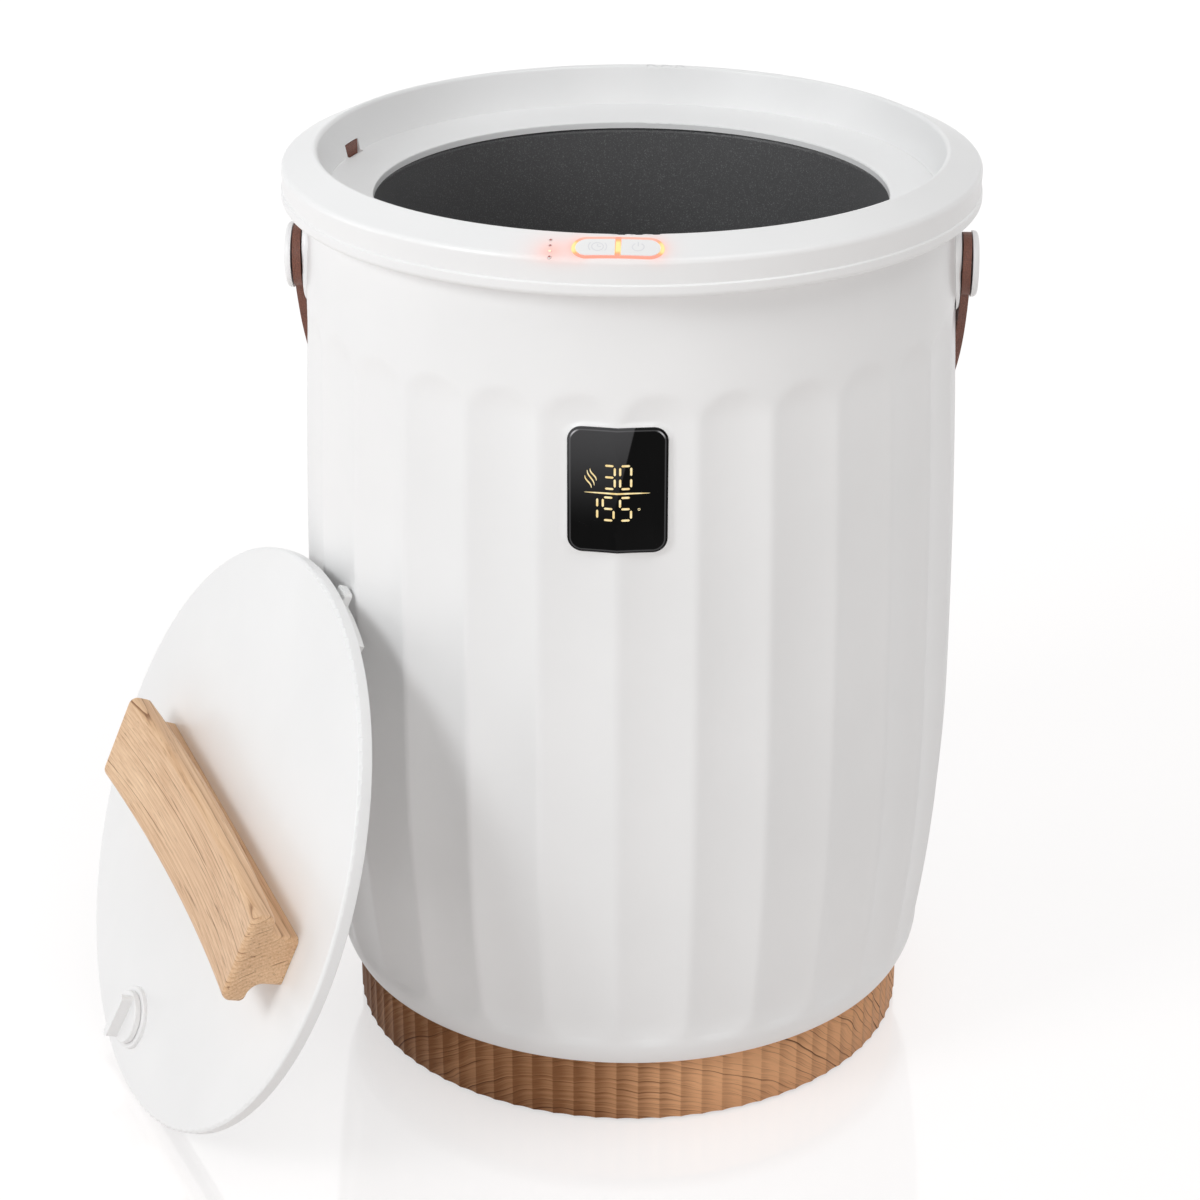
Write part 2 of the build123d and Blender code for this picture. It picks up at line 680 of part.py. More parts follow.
liner_top = -lid_thickness + 1.6
with BuildPart() as lid_liner:
    revolve(
        outline(
            [
                (plug_radius - 1.6, liner_top), (lid_radius - 2.8, liner_top),
                (lid_radius - 2.8, -lid_thickness), (plug_radius, -lid_thickness),
                (plug_radius, -lid_thickness - plug_depth), (0, -lid_thickness - plug_depth),
                (0, -lid_thickness - plug_depth + 1.6),
                (plug_radius - 1.6, -lid_thickness - plug_depth + 1.6),
            ],
            [0, 0, 0, 0, 2.4, 0, 0, 0.8],
            lid_section,
        ),
        axis=lid_axis,
    )
    for lug in lug_angles:
        with BuildSketch(lid_plane.offset(-lid_thickness)):
            with BuildLine():
                outer_arc = CenterArc((0, 0), 138.0, lug - lug_span / 2, lug_span)
                inner_arc = CenterArc((0, 0), 134.6, lug - lug_span / 2, lug_span)
                Line(outer_arc @ 0, inner_arc @ 0)
                Line(outer_arc @ 1, inner_arc @ 1)
            make_face()
        extrude(amount=-lug_depth)
        with BuildSketch(on_lid(lug + 6.0, 139.8, -lid_thickness - lug_depth, lug + 6.0)):
            RectangleRounded(8.4, 10.0, 1.6)
        extrude(amount=3.6)
    with BuildSketch(knob_plane.offset(-9.0)):
        Circle(12.4)
    extrude(amount=6.0, mode=Mode.SUBTRACT)

with BuildPart() as lid_gasket:
    revolve(
        outline(
            [(129.0, -lid_thickness), (133.0, -lid_thickness), (132.4, -lid_thickness - 4.4),
             (129.6, -lid_thickness - 4.4)],
            [0, 0, 1.2, 1.2],
            lid_section,
        ),
        axis=lid_axis,
    )

with BuildPart() as lid_insulation:
    with BuildSketch(lid_plane.offset(-12.4)):
        Circle(plug_radius - 2.6)
    extrude(amount=9.4)
    with BuildSketch(handle_plane.offset(-13.0)):
        with Locations(*handle_screw_places):
            Circle(6.0)
    extrude(amount=12.0, mode=Mode.SUBTRACT)

side_view = Plane(origin=handle_plane.origin, x_dir=handle_plane.x_dir, z_dir=-handle_plane.y_dir)
saddle_height = handle_height - handle_sag
saddle_radius = ((handle_length / 2) ** 2 + handle_sag**2) / (2 * handle_sag)
saddle_axis = Axis(handle_plane.origin + lid_normal * (saddle_height + saddle_radius), handle_plane.y_dir)
end_view = Plane(
    origin=handle_plane.origin + lid_normal * saddle_height,
    x_dir=handle_plane.y_dir,
    z_dir=handle_plane.x_dir,
)
with BuildPart() as lid_handle:
    # the grip's cross-section, swept both ways from the middle along the saddle
    half_grip, half_stem = handle_width / 2, stem_width / 2
    for sweep_angle in (-8.0, 8.0):
        with BuildSketch(end_view):
            with BuildLine():
                FilletPolyline(
                    (-half_stem, -32.0), (half_stem, -32.0), (half_stem, -grip_depth),
                    (half_grip, -grip_depth), (half_grip, 0), (-half_grip, 0),
                    (-half_grip, -grip_depth), (-half_stem, -grip_depth),
                    radius=[0, 0, 6.4, 3.4, 4.5, 4.5, 3.4, 6.4],
                    close=True,
                )
            make_face()
        revolve(axis=saddle_axis, revolution_arc=sweep_angle)
    # ends cut a little inward towards the lid, and the foot cut flat
    with BuildSketch(side_view.offset(-handle_width)):
        with BuildLine():
            Polyline(
                (-handle_length / 2 - 0.4, 40.0), (handle_length / 2 + 0.4, 40.0),
                (handle_length / 2 - 3.0, 0.1), (-handle_length / 2 + 3.0, 0.1),
                close=True,
            )
        make_face()
    extrude(amount=handle_width * 2, mode=Mode.INTERSECT)
    along_handle = Axis(handle_plane.origin, handle_plane.x_dir)
    for end in (0, -1):
        end_face = lid_handle.faces().sort_by(along_handle)[end]
        rounded = end_face.edges().filter_by(
            lambda edge: (edge.center() - handle_plane.origin).dot(lid_normal) > 0.5
        )
        fillet(rounded, radius=3.0)
    with BuildSketch(handle_plane):
        with Locations(*handle_screw_places):
            Circle(1.85)
    extrude(amount=14.0, mode=Mode.SUBTRACT)

with BuildPart() as handle_screws:
    with BuildSketch(handle_plane.offset(-lid_plate)):
        with Locations(*handle_screw_places):
            Circle(1.8)
    extrude(amount=lid_plate + 12.0)
    with BuildSketch(handle_plane.offset(-lid_plate - 2.4)):
        with Locations(*handle_screw_places):
            Circle(4.0)
    extrude(amount=2.4)

# ---------------------------------------------------------------- fragrance holder

knob_section = Plane(origin=knob_plane.origin, x_dir=knob_plane.x_dir, z_dir=-knob_plane.y_dir)
knob_axis = Axis(knob_plane.origin, lid_normal)

with BuildPart() as fragrance_cup:
    revolve(
        outline(
            [
                (10.7, 2.2), (15.6, 2.2), (15.6, 0), (12.3, 0), (12.3, -11.6), (0, -11.6), (0, -10.0),
                (10.7, -10.0),
            ],
            [0, 0.9, 0, 0, 0.8, 0, 0, 0],
            knob_section,
        ),
        axis=knob_axis,
    )
    with BuildSketch(knob_plane.offset(-12.0)):
        with PolarLocations(6.2, 6):
            RegularPolygon(1.6, 6)
        RegularPolygon(1.6, 6)
    extrude(amount=3.0, mode=Mode.SUBTRACT)

with BuildPart() as fragrance_pad:
    with BuildSketch(knob_plane.offset(-9.9)):
        Circle(9.8)
    extrude(amount=4.0)

with BuildPart() as fragrance_cap:
    revolve(
        outline(
            [(0, 2.5), (9.0, 2.5), (9.0, -4.5), (10.62, -4.5), (10.62, 2.5), (knob_radius, 2.5),
             (knob_radius, 5.6), (0, 5.6)],
            [0, 0, 0, 0, 0, 0, 0.9, 0],
            knob_section,
        ),
        axis=knob_axis,
    )
    with BuildSketch(knob_plane.offset(5.0)):
        RectangleRounded(2 * knob_radius - 1.0, 4.6, 2.2)
    extrude(amount=6.6)

# ---------------------------------------------------------------- files

pieces = {
    "base_ring": base_ring,
    "base_plate": base_plate,
    "rubber_feet": rubber_feet,
    "base_screws": base_screws,
    "cord_gland": cord_gland,
    "outer_shell": outer_shell,
    "display_lens": display_lens,
    "display_tray": display_tray,
    "display_module": display_module,
    "top_rim": top_rim,
    "seat_ring": seat_ring,
    "light_ring": light_ring,
    "power_button": power_button,
    "timer_button": timer_button,
    "indicator_lights": indicator_lights,
    "button_board": button_board,
    "button_switches": button_switches,
    "inner_pot": inner_pot,
    "heating_film": heating_film,
    "insulation_jacket": insulation_jacket,
    "pot_cradle": pot_cradle,
    "thermostat": thermostat,
    "thermal_fuse": thermal_fuse,
    "power_board": power_board,
    "board_components": board_components,
    "left_strap_boss": left_boss,
    "right_strap_boss": right_boss,
    "left_strap_backing": left_backing,
    "right_strap_backing": right_backing,
    "left_strap_pin": left_pin,
    "right_strap_pin": right_pin,
    "left_strap_cap": left_cap,
    "right_strap_cap": right_cap,
    "carry_strap": carry_strap,
    "lid_shell": lid_shell,
    "lid_liner": lid_liner,
    "lid_gasket": lid_gasket,
    "lid_insulation": lid_insulation,
    "lid_handle": lid_handle,
    "handle_screws": handle_screws,
    "fragrance_cup": fragrance_cup,
    "fragrance_pad": fragrance_pad,
    "fragrance_cap": fragrance_cap,
}
for name, piece in pieces.items():
    piece.part.label = name
    export_step(piece.part, f"parts/{name}.step")
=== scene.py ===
# %% [markdown]
# # A towel warmer bucket, finished in Blender
#
# A towel warmer bucket is a heated pot inside a white fluted shell.
# It stands on a wood-look plinth, and a lift-off lid leans against its side.
# The solid model gives every piece its place and its size.
# This lesson gives the pieces their surfaces, their lights and their fine detail.

import json
import math

import bmesh
import bpy
import numpy as np
from mathutils import Matrix, Vector


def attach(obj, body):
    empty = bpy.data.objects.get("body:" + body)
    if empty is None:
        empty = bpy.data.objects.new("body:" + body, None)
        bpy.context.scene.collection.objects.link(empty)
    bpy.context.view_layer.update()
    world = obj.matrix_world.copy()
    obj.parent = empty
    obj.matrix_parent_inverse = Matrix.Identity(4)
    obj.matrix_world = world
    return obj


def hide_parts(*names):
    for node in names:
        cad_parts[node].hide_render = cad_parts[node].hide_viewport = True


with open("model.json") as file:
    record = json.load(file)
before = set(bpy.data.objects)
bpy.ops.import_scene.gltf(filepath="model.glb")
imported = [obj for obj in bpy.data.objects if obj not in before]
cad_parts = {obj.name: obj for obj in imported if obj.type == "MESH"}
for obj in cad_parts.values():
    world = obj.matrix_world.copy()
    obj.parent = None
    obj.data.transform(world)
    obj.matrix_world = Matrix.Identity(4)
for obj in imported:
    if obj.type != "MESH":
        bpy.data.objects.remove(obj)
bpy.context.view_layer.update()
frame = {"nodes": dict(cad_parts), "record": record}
nodes = frame["nodes"]
record = frame["record"]
mm = 0.001
slot_of = {part["node"]: part["material_slot"] for part in record["subparts"]}
body_of_node = {node: body for body, group in record["behaviour"]["bodies"].items() for node in group}


def new_object(name, data):
    """A new object in the scene, at the origin."""
    item = bpy.data.objects.new(name, data)
    bpy.context.scene.collection.objects.link(item)
    return item


# %% [markdown]
# ## Sizes that the finish shares with the solid model
#
# A finished piece has to sit where its solid sits, so the few sizes that both need are written here once.
# The shell is a barrel made of two arcs that meet at its belly.

# %% Sizes of the shell
belly_radius, belly_height = 161.3 * mm, 180.0 * mm
shell_top_radius, shell_top = 152.8 * mm, 433.2 * mm
shell_turn_radius, shell_turn_height = 150.6 * mm, 52.0 * mm
shell_bottom_radius, shell_bottom = 146.0 * mm, 37.0 * mm
shell_wall = 5.2 * mm
upper_drop = belly_radius - shell_top_radius
upper_arc = ((shell_top - belly_height) ** 2 + upper_drop**2) / (2 * upper_drop)
lower_drop = belly_radius - shell_turn_radius
lower_arc = ((belly_height - shell_turn_height) ** 2 + lower_drop**2) / (2 * lower_drop)


def barrel(height):
    """Radius of the barrel at a height."""
    arc = upper_arc if height > belly_height else lower_arc
    return belly_radius - arc + math.sqrt(arc**2 - (height - belly_height) ** 2)


# the window follows the ridge between two flutes: two wide, shallow hollows pressed side by side
flute_count, scallop_count = 28, 84
plinth_radius = 141.3 * mm
window_middle, window_dip, lens_proud, pad_proud = 340 * mm, 1.5 * mm, 1.1 * mm, 0.35 * mm
window_drum_radius = 337 * mm
window_reach = barrel(window_middle) + window_drum_radius
print("shell radius at the display:", round(barrel(window_middle) / mm, 2), "mm")

# %% [markdown]
# ## Where the lid leans
#
# The handle's wood is cut along the handle, so its place on the leaning lid has to be known.

# %% Place of the leaning lid
lid_azimuth, lid_tilt = math.radians(-61.6), math.radians(21.6)
lid_radius, lid_thickness = 143.0 * mm, 6.6 * mm
lid_out = Vector((math.sin(lid_azimuth), -math.cos(lid_azimuth), 0))
lid_normal = lid_out * math.cos(lid_tilt) + Vector((0, 0, math.sin(lid_tilt)))
lid_across = Vector((0, 0, 1)).cross(lid_normal).normalized()
lid_up = lid_normal.cross(lid_across)
lid_centre = lid_out * (223.0 * mm)
lid_centre.z = lid_radius * math.cos(lid_tilt) + lid_thickness * math.sin(lid_tilt)
# the handle lies across the lid, turned a little
handle_turn = math.radians(-6.1)
along_handle = lid_across * math.cos(handle_turn) + lid_up * math.sin(handle_turn)
handle_place = Matrix((along_handle, lid_normal.cross(along_handle), lid_normal)).transposed().to_4x4()
handle_place.translation = lid_centre + along_handle * (11.0 * mm)
print("lid centre:", [round(value / mm, 1) for value in lid_centre])

# %% [markdown]
# ## The camera
#
# A long lens from about a metre and a half keeps the tall bucket from tapering too much.
# It stands above the rim and looks down, so that the pot's inside shows.

# %% Camera
camera_data = bpy.data.cameras.new("product_camera")
camera_data.sensor_width = 36.0
camera_data.lens = 89.79
camera = new_object("product_camera", camera_data)
camera.location = (0.0489, -1.3796, 0.8306)
camera.rotation_euler = (math.radians(90 - 23.944), 0, math.radians(2.65))
bpy.context.scene.camera = camera
print("camera lens:", camera_data.lens, "mm")

# %% [markdown]
# ## Wires: short arithmetic for node trees
#
# Each sum in a node tree is a Math node, and placing them one by one hides the formula.
# A Wire stands for one socket, and adding two wires adds a Math node that joins them.


# %% Wire helper
class Wire:
    """One socket in a node tree. Arithmetic on it adds Math nodes."""

    def __init__(self, tree, socket):
        self.tree, self.socket = tree, socket

    def math(self, operation, *others):
        inputs = dict(enumerate((self, *others)))
        return wire(add_node(self.tree, "ShaderNodeMath", inputs, operation=operation))

    def __add__(self, other):
        return self.math("ADD", other)

    def __sub__(self, other):
        return self.math("SUBTRACT", other)

    def __rsub__(self, other):
        return (self * -1.0) + other

    def __mul__(self, other):
        return self.math("MULTIPLY", other)

    def __truediv__(self, other):
        return self.math("DIVIDE", other)

    def __abs__(self):
        return self.math("ABSOLUTE")

    __radd__, __rmul__ = __add__, __mul__


def fill(node, inputs):
    """Fills a node's inputs by name or number, with wires, sockets or plain values."""
    for name, value in inputs.items():
        value = getattr(value, "socket", value)
        if isinstance(value, bpy.types.NodeSocket):
            node.id_data.links.new(value, node.inputs[name])
        else:
            node.inputs[name].default_value = value
    return node


def add_node(tree, kind, inputs=None, **settings):
    """Adds a node, sets its options and fills its inputs."""
    node = tree.nodes.new(kind)
    for name, value in settings.items():
        setattr(node, name, value)
    return fill(node, inputs or {})


def wire(node, output=0):
    """The wire that leaves a node."""
    return Wire(node.id_data, node.outputs[output])


def axes(place):
    """The three coordinates of a place as wires."""
    node = add_node(place.tree, "ShaderNodeSeparateXYZ", {"Vector": place})
    return [wire(node, axis) for axis in "XYZ"]


def beyond(value, limit):
    """How far the size of a wire goes beyond a limit, or 0."""
    return (abs(value) - limit).math("MAXIMUM", 0.0)


def length(*wires):
    """The length of a vector whose parts are wires."""
    total = wires[0] * wires[0]
    for part in wires[1:]:
        total = total + part * part
    return total.math("SQRT")


def smooth_step(value, low, high):
    """0 below low, 1 above high and an even ramp between, with soft ends."""
    inputs = {"Value": value, "From Min": low, "From Max": high}
    return wire(add_node(value.tree, "ShaderNodeMapRange", inputs, interpolation_type="SMOOTHSTEP"))


print("wire helper ready")

# %% [markdown]
# ## Materials
#
# Every finish is built from nodes, so that it has detail at any distance.
# A material reads Object coordinates, which are metres in the model's own frame.
# So a noise scale of 1000 has features of about a millimetre.


# %% Material helpers
def new_material(name):
    """A material with a Principled shader, and its object coordinates."""
    material = bpy.data.materials.new(name)
    material.use_nodes = True
    tree = material.node_tree
    return material, tree.nodes["Principled BSDF"], wire(add_node(tree, "ShaderNodeTexCoord"), "Object")


def noise(place, scale, detail=3.0, roughness=0.5):
    """Noise of a scale, as a wire from 0 to 1."""
    inputs = {"Vector": place, "Scale": scale, "Detail": detail, "Roughness": roughness}
    return wire(add_node(place.tree, "ShaderNodeTexNoise", inputs), "Fac")


def ramp(value, stops):
    """A colour ramp through (position, colour) stops."""
    node = add_node(value.tree, "ShaderNodeValToRGB", {"Fac": value})
    band = node.color_ramp
    while len(band.elements) < len(stops):
        band.elements.new(0.5)
    for element, (position, colour) in zip(band.elements, stops):
        element.position = position
        element.color = (*colour, 1.0)
    return wire(node, "Color")


def mixed(factor, first, second):
    """A colour that goes from the first to the second as the factor goes from 0 to 1."""
    inputs = {"Factor": factor, "A": first, "B": second}
    return wire(add_node(factor.tree, "ShaderNodeMix", inputs, data_type="RGBA"), "Result")


def uneven(cloud, colour, darker, lighter, low, high):
    """A colour that a cloud makes a little darker here and a little lighter there."""
    light = tuple(min(1.0, value * lighter) for value in colour)
    dark = tuple(value * darker for value in colour)
    return ramp(cloud, [(low, dark), (high, light)])


def bump(shader, height, strength, distance=0.1 * mm):
    """Joins a height to the shader's normal."""
    inputs = {"Height": height, "Strength": strength, "Distance": distance}
    fill(shader, {"Normal": wire(add_node(shader.id_data, "ShaderNodeBump", inputs), "Normal")})


def mapped(place, turn=(0, 0, 0), scale=(1, 1, 1), shift=(0, 0, 0)):
    """Object coordinates moved, turned and stretched."""
    inputs = {"Vector": place, "Location": shift, "Rotation": turn, "Scale": scale}
    return wire(add_node(place.tree, "ShaderNodeMapping", inputs))


print("material helpers ready")

# %% [markdown]
# ## White moulded plastic
#
# The shell, the rim and the lid are injection-moulded and lightly polished.
# A flat white would look like paper, so its colour wanders very slightly and its polish is uneven.
# A fine orange-peel bump breaks up reflections.


# %% White plastic
def white_plastic(name, colour=(0.90, 0.90, 0.90), gloss=0.34):
    """Moulded plastic with a faint cloud in its white and a light orange peel."""
    material, shader, place = new_material(name)
    fill(shader, {
        "Base Color": uneven(noise(place, 9.0, 4.0), colour, 0.975, 1.015, 0.35, 0.65),
        "Roughness": noise(place, 60.0, 5.0) * 0.08 + (gloss - 0.04),
        "Specular IOR Level": 0.5, "Coat Weight": 0.12, "Coat Roughness": 0.18,
    })
    bump(shader, noise(place, 900.0, 2.0), 0.05)
    return material


shell_white = white_plastic("shell_white")
liner_white = white_plastic("liner_white", (0.86, 0.86, 0.855), 0.45)
print("made", shell_white.name, liner_white.name)

# %% [markdown]
# ## Wood
#
# The plinth and the handle have a wood grain with dark, narrow late-wood lines.
# Painting stripes on the surface would stop at every corner.
# A solid texture is used instead: growth rings are cylinders round a log's axis.
# The piece is cut out of that log, so lines wrap over edges and show arches on the front.


# %% Wood
def wood(name, colours, place_of_log, ring, waver, dash, streaky, bold, gloss, shine, painted_light_strength):
    """Wood cut from a log whose axis runs along local X of place_of_log.

    ring is a year's width, waver how far rings stray, dash the stretch and scale of a line's breaks,
    streaky and bold the strength of streaks and of the weakest lines, and the last argument the strength of the
    painted light and shade.
    """
    pale, mid, dark = colours
    material, shader, place = new_material(name)
    log = place_of_log(place)
    along, side, up = axes(log)

    def grain(stretch, scale, detail, roughness=0.5):
        return noise(mapped(log, scale=(stretch, 1.0, 1.0)), scale, detail, roughness)

    sway = (grain(0.12, 14.0, 2.0) - 0.5) * waver
    ripple = (grain(0.12, 85.0, 3.0) - 0.5) * (waver * 0.22)
    rings = (length(side, up) + sway + ripple) / ring
    year, phase = rings.math("FLOOR"), rings.math("FRACT")
    # every year has its own strength, and its line comes and goes along the grain
    strength = wire(add_node(log.tree, "ShaderNodeTexWhiteNoise", {"W": year}, noise_dimensions="1D"), "Value")
    own_place = add_node(log.tree, "ShaderNodeCombineXYZ", {"X": along * dash[0], "Y": side + year * 0.37, "Z": up})
    come_and_go = noise(wire(own_place), dash[1], 2.0, 0.6)
    width = smooth_step(come_and_go, 0.36, 0.68) * (strength * 0.26 + 0.10) + 0.06
    line = smooth_step(phase, 0.96 - width, 0.96) * smooth_step(1.0 - phase, 0.0, 0.04)
    line = line * (smooth_step(come_and_go, 0.36, 0.60) * (strength * strength * (1.0 - bold) + bold) + 0.06)
    # short dark streaks run with the grain between the lines
    line = line + smooth_step(grain(0.055, 400.0, 3.0, 0.6), 0.58, 0.74) * streaky
    fibre, patch = grain(0.02, 900.0, 4.0, 0.6), grain(0.12, 24.0, 3.0)
    late = 1.0 - smooth_step(phase, 0.0, 0.9)
    # the print is a little paler towards one side, and along one edge of every scallop
    # painted light and shade: the tone is painted lighter towards +x, where the key lamp lights the plinth beyond
    # the lid's shadow, and lighter along one edge of every scallop, as the lit side of each hollow
    x, y, z = axes(place)
    scallop = (x.math("ARCTAN2", y * -1.0) * (scallop_count / (2.0 * math.pi))).math("FRACT")
    edge = smooth_step(scallop, 0.0, 0.9) * smooth_step(1.0 - scallop, 0.0, 0.08)
    painted_light_and_shade = (smooth_step(x, -0.03, 0.06) - 0.5 + edge * 0.50 - 0.2) * painted_light_strength
    tone = ramp(patch * 0.45 + fibre * 0.50 + late * 0.06 + painted_light_and_shade, [(0.24, mid), (0.78, pale)])
    pores = smooth_step(grain(0.05, 1500.0, 2.0), 0.62, 0.74)
    lined = mixed(line.math("MINIMUM", 1.0), tone, (*dark, 1.0))
    fill(shader, {
        "Base Color": mixed(pores * 0.30, lined, (*dark, 1.0)),
        "Roughness": line * 0.12 + gloss, "Specular IOR Level": shine,
    })
    bump(shader, (1.0 - line) * 0.4 + fibre * 0.3 - pores * 0.4, 0.2)
    return material


def plinth_log(place):
    """The plinth wears a printed film: its grain arches over the front in large rings."""
    x, y, z = axes(place)
    round_way = x.math("ARCTAN2", y * -1.0) * plinth_radius + 4 * mm
    height = z + 118 * mm + (noise(mapped(place, scale=(1, 1, 2)), 16.0, 2.0) - 0.5) * (16 * mm)
    along = round_way.math("ARCTAN2", height) * (130 * mm)
    film = {"X": along, "Y": length(round_way, height), "Z": 0.0}
    return wire(add_node(place.tree, "ShaderNodeCombineXYZ", film))


def handle_log(place):
    """The log lies along the handle, well to one side, so its rings run down the grip as lines."""
    back = handle_place.inverted().to_euler("XYZ")
    shift = handle_place.inverted().translation + Vector((0, 0.074, 0.030))
    return mapped(place, turn=tuple(back), shift=tuple(shift))


plinth_wood = wood(
    "plinth_wood", [(0.78, 0.42, 0.22), (0.25, 0.108, 0.045), (0.055, 0.015, 0.005)], plinth_log,
    ring=2.8 * mm, waver=3 * mm, dash=(0.30, 75.0), streaky=0.10, bold=0.35, gloss=0.50, shine=0.08, painted_light_strength=0.40,
)
handle_wood = wood(
    "handle_wood", [(0.96, 0.70, 0.46), (0.47, 0.225, 0.090), (0.20, 0.075, 0.025)], handle_log,
    ring=1.9 * mm, waver=9 * mm, dash=(0.08, 130.0), streaky=0.60, bold=0.10, gloss=0.36, shine=0.30, painted_light_strength=0.0,
)
print("made", plinth_wood.name, handle_wood.name)

# %% [markdown]
# ## Leather
#
# The carry strap is smooth reddish-brown leather.
# Its grain is small cells with soft, darker valleys between them, which a Voronoi texture gives.


# %% Leather
def leather(name, colour):
    """Dyed leather: pebbled cells with darker valleys."""
    material, shader, place = new_material(name)
    inputs = {"Vector": place, "Scale": 1100.0}
    cells = add_node(place.tree, "ShaderNodeTexVoronoi", inputs, feature="DISTANCE_TO_EDGE")
    valley = smooth_step(wire(cells, "Distance"), 0.0, 0.28)
    fill(shader, {
        "Base Color": uneven(noise(place, 45.0, 4.0) * 0.6 + valley * 0.4, colour, 0.68, 1.25, 0.25, 0.75),
        "Roughness": noise(place, 120.0, 3.0) * 0.2 + 0.38,
    })
    bump(shader, valley, 0.5, 0.15 * mm)
    return material


strap_leather = leather("strap_leather", (0.20, 0.072, 0.045))
print("made", strap_leather.name)

# %% [markdown]
# ## Pot coating and the rest
#
# The pot has a dark non-stick coating with a fine pale speckle.
# Rubber, steel, felt, foil and circuit board share one plain recipe with different numbers.


# %% Pot coating
def pot_coating(name):
    """Dark non-stick coating with a fine speckle."""
    material, shader, place = new_material(name)
    speck = smooth_step(noise(place, 1500.0, 2.0, 0.7), 0.54, 0.68)
    fine = noise(place, 5200.0, 1.0)
    fill(shader, {
        "Base Color": ramp(speck * 0.7 + fine * 0.3, [(0.05, (0.085, 0.085, 0.087)), (0.95, (0.215, 0.215, 0.219))]),
        "Roughness": speck * 0.15 + 0.42,
    })
    bump(shader, speck, 0.25)
    return material


def plain_finish(name, colour, gloss, metal=0.0, grain=400.0, depth=0.1, spread=0.12):
    """A simple finish with uneven colour, uneven polish and a small bump."""
    material, shader, place = new_material(name)
    fill(shader, {
        "Base Color": uneven(noise(place, grain * 0.2, 4.0), colour, 1 - spread, 1 + spread, 0.3, 0.7),
        "Roughness": noise(place, grain, 3.0) * 0.16 + (gloss - 0.08), "Metallic": metal,
    })
    bump(shader, noise(place, grain * 3.0, 2.0), depth)
    return material


material_for = {
    "white_shell": shell_white,
    "wood_plinth": plinth_wood,
    "wood_handle": handle_wood,
    "brown_leather": strap_leather,
    "coated_pot": pot_coating("pot_dark"),
    "grey_rubber": plain_finish("foot_rubber", (0.055, 0.055, 0.057), 0.75),
    "bright_steel": plain_finish("bare_steel", (0.62, 0.62, 0.64), 0.28, 1.0),
    "felt": plain_finish("felt_wool", (0.52, 0.50, 0.45), 0.9, grain=900.0, depth=0.8),
    "foil_film": plain_finish("foil", (0.72, 0.72, 0.73), 0.25, 1.0),
    "circuit_board": plain_finish("board_green", (0.03, 0.14, 0.055), 0.4),
    "dark_components": plain_finish("component_dark", (0.03, 0.03, 0.032), 0.5),
    "grey_plastic": plain_finish("floor_grey", (0.33, 0.33, 0.33), 0.55),
}
mark_grey = plain_finish("mark_grey", (0.79, 0.79, 0.81), 0.45, spread=0.03)
print("finishes for", len(material_for), "slots")

# %% [markdown]
# ## Lit pieces
#
# The buttons have a lit outline, a row of small indicator lights and a readout behind a black window.
# Light in plastic is not even: it is yellow-white next to a lamp and red-orange further away.
# So the outline's colour follows the distance to its three lamps, at both ends and on the divider.

# %% Button outline and its glow
button_height, button_front = 451.47 * mm, -157.9 * mm
crown_slope = math.radians(24.0)
pill_straight, pill_line = 13.1 * mm, 6.7 * mm
dot_across, dot_pitch, lit_dot = -29.0 * mm, 3.6 * mm, -1.6 * mm


def on_crown(place):
    """Coordinates on the sloping crown: across, up the slope and out of it."""
    x, y, z = axes(place)
    y, z = y - button_front, z - button_height
    up_slope = y * math.cos(crown_slope) + z * math.sin(crown_slope)
    out = z * math.cos(crown_slope) - y * math.sin(crown_slope)
    return x, up_slope, out


def lit_outline(name):
    """Outline of the two buttons, yellow at its lamps and red-orange between them."""
    material, shader, place = new_material(name)
    x, up_slope, out = on_crown(place)
    ends = smooth_step(abs(x), 14.6 * mm, 19.2 * mm)
    lamp = smooth_step(abs(up_slope - 0.4 * mm), 5.6 * mm, 2.2 * mm)
    divider = smooth_step(abs(x), 1.6 * mm, 0.9 * mm)
    near = (ends.math("MAXIMUM", divider) * lamp).math("MINIMUM", 1.0)
    far_side = smooth_step(up_slope, 3.0 * mm, 6.0 * mm) * (1.0 - divider) * (1.0 - ends)
    colour = ramp(near, [(0.0, (0.95, 0.30, 0.22)), (0.45, (1.0, 0.42, 0.14)), (1.0, (1.0, 0.78, 0.30))])
    fill(shader, {
        "Emission Color": mixed(far_side, colour, (0.86, 0.42, 0.34, 1)), "Emission Strength": 1.0,
        "Base Color": (0.22, 0.09, 0.06, 1), "Roughness": 0.35,
    })
    bump(shader, noise(place, 900.0, 2.0), 0.05)
    return material


def lit_dots(name):
    """Four dots in a row; the third one from the back is on."""
    material, shader, place = new_material(name)
    x, up_slope, out = on_crown(place)
    on = smooth_step(abs(up_slope - lit_dot), 1.6 * mm, 1.2 * mm)
    # only the core of each pipe carries light; its rim is white like the crown
    from_row = (((up_slope - lit_dot) * (1.0 / dot_pitch) + 0.5).math("FRACT") - 0.5) * dot_pitch
    core = smooth_step(length(from_row, x - dot_across), 0.70 * mm, 0.45 * mm)
    fill(shader, {
        "Emission Color": ramp(on, [(0.0, (0.62, 0.20, 0.17)), (1.0, (1.0, 0.90, 0.55))]),
        "Emission Strength": (on * 0.75 + 0.30) * core,
        "Base Color": ramp(core, [(0.0, (0.86, 0.80, 0.79)), (1.0, (0.25, 0.07, 0.06))]),
    })
    bump(shader, noise(place, 900.0, 2.0), 0.05)
    return material


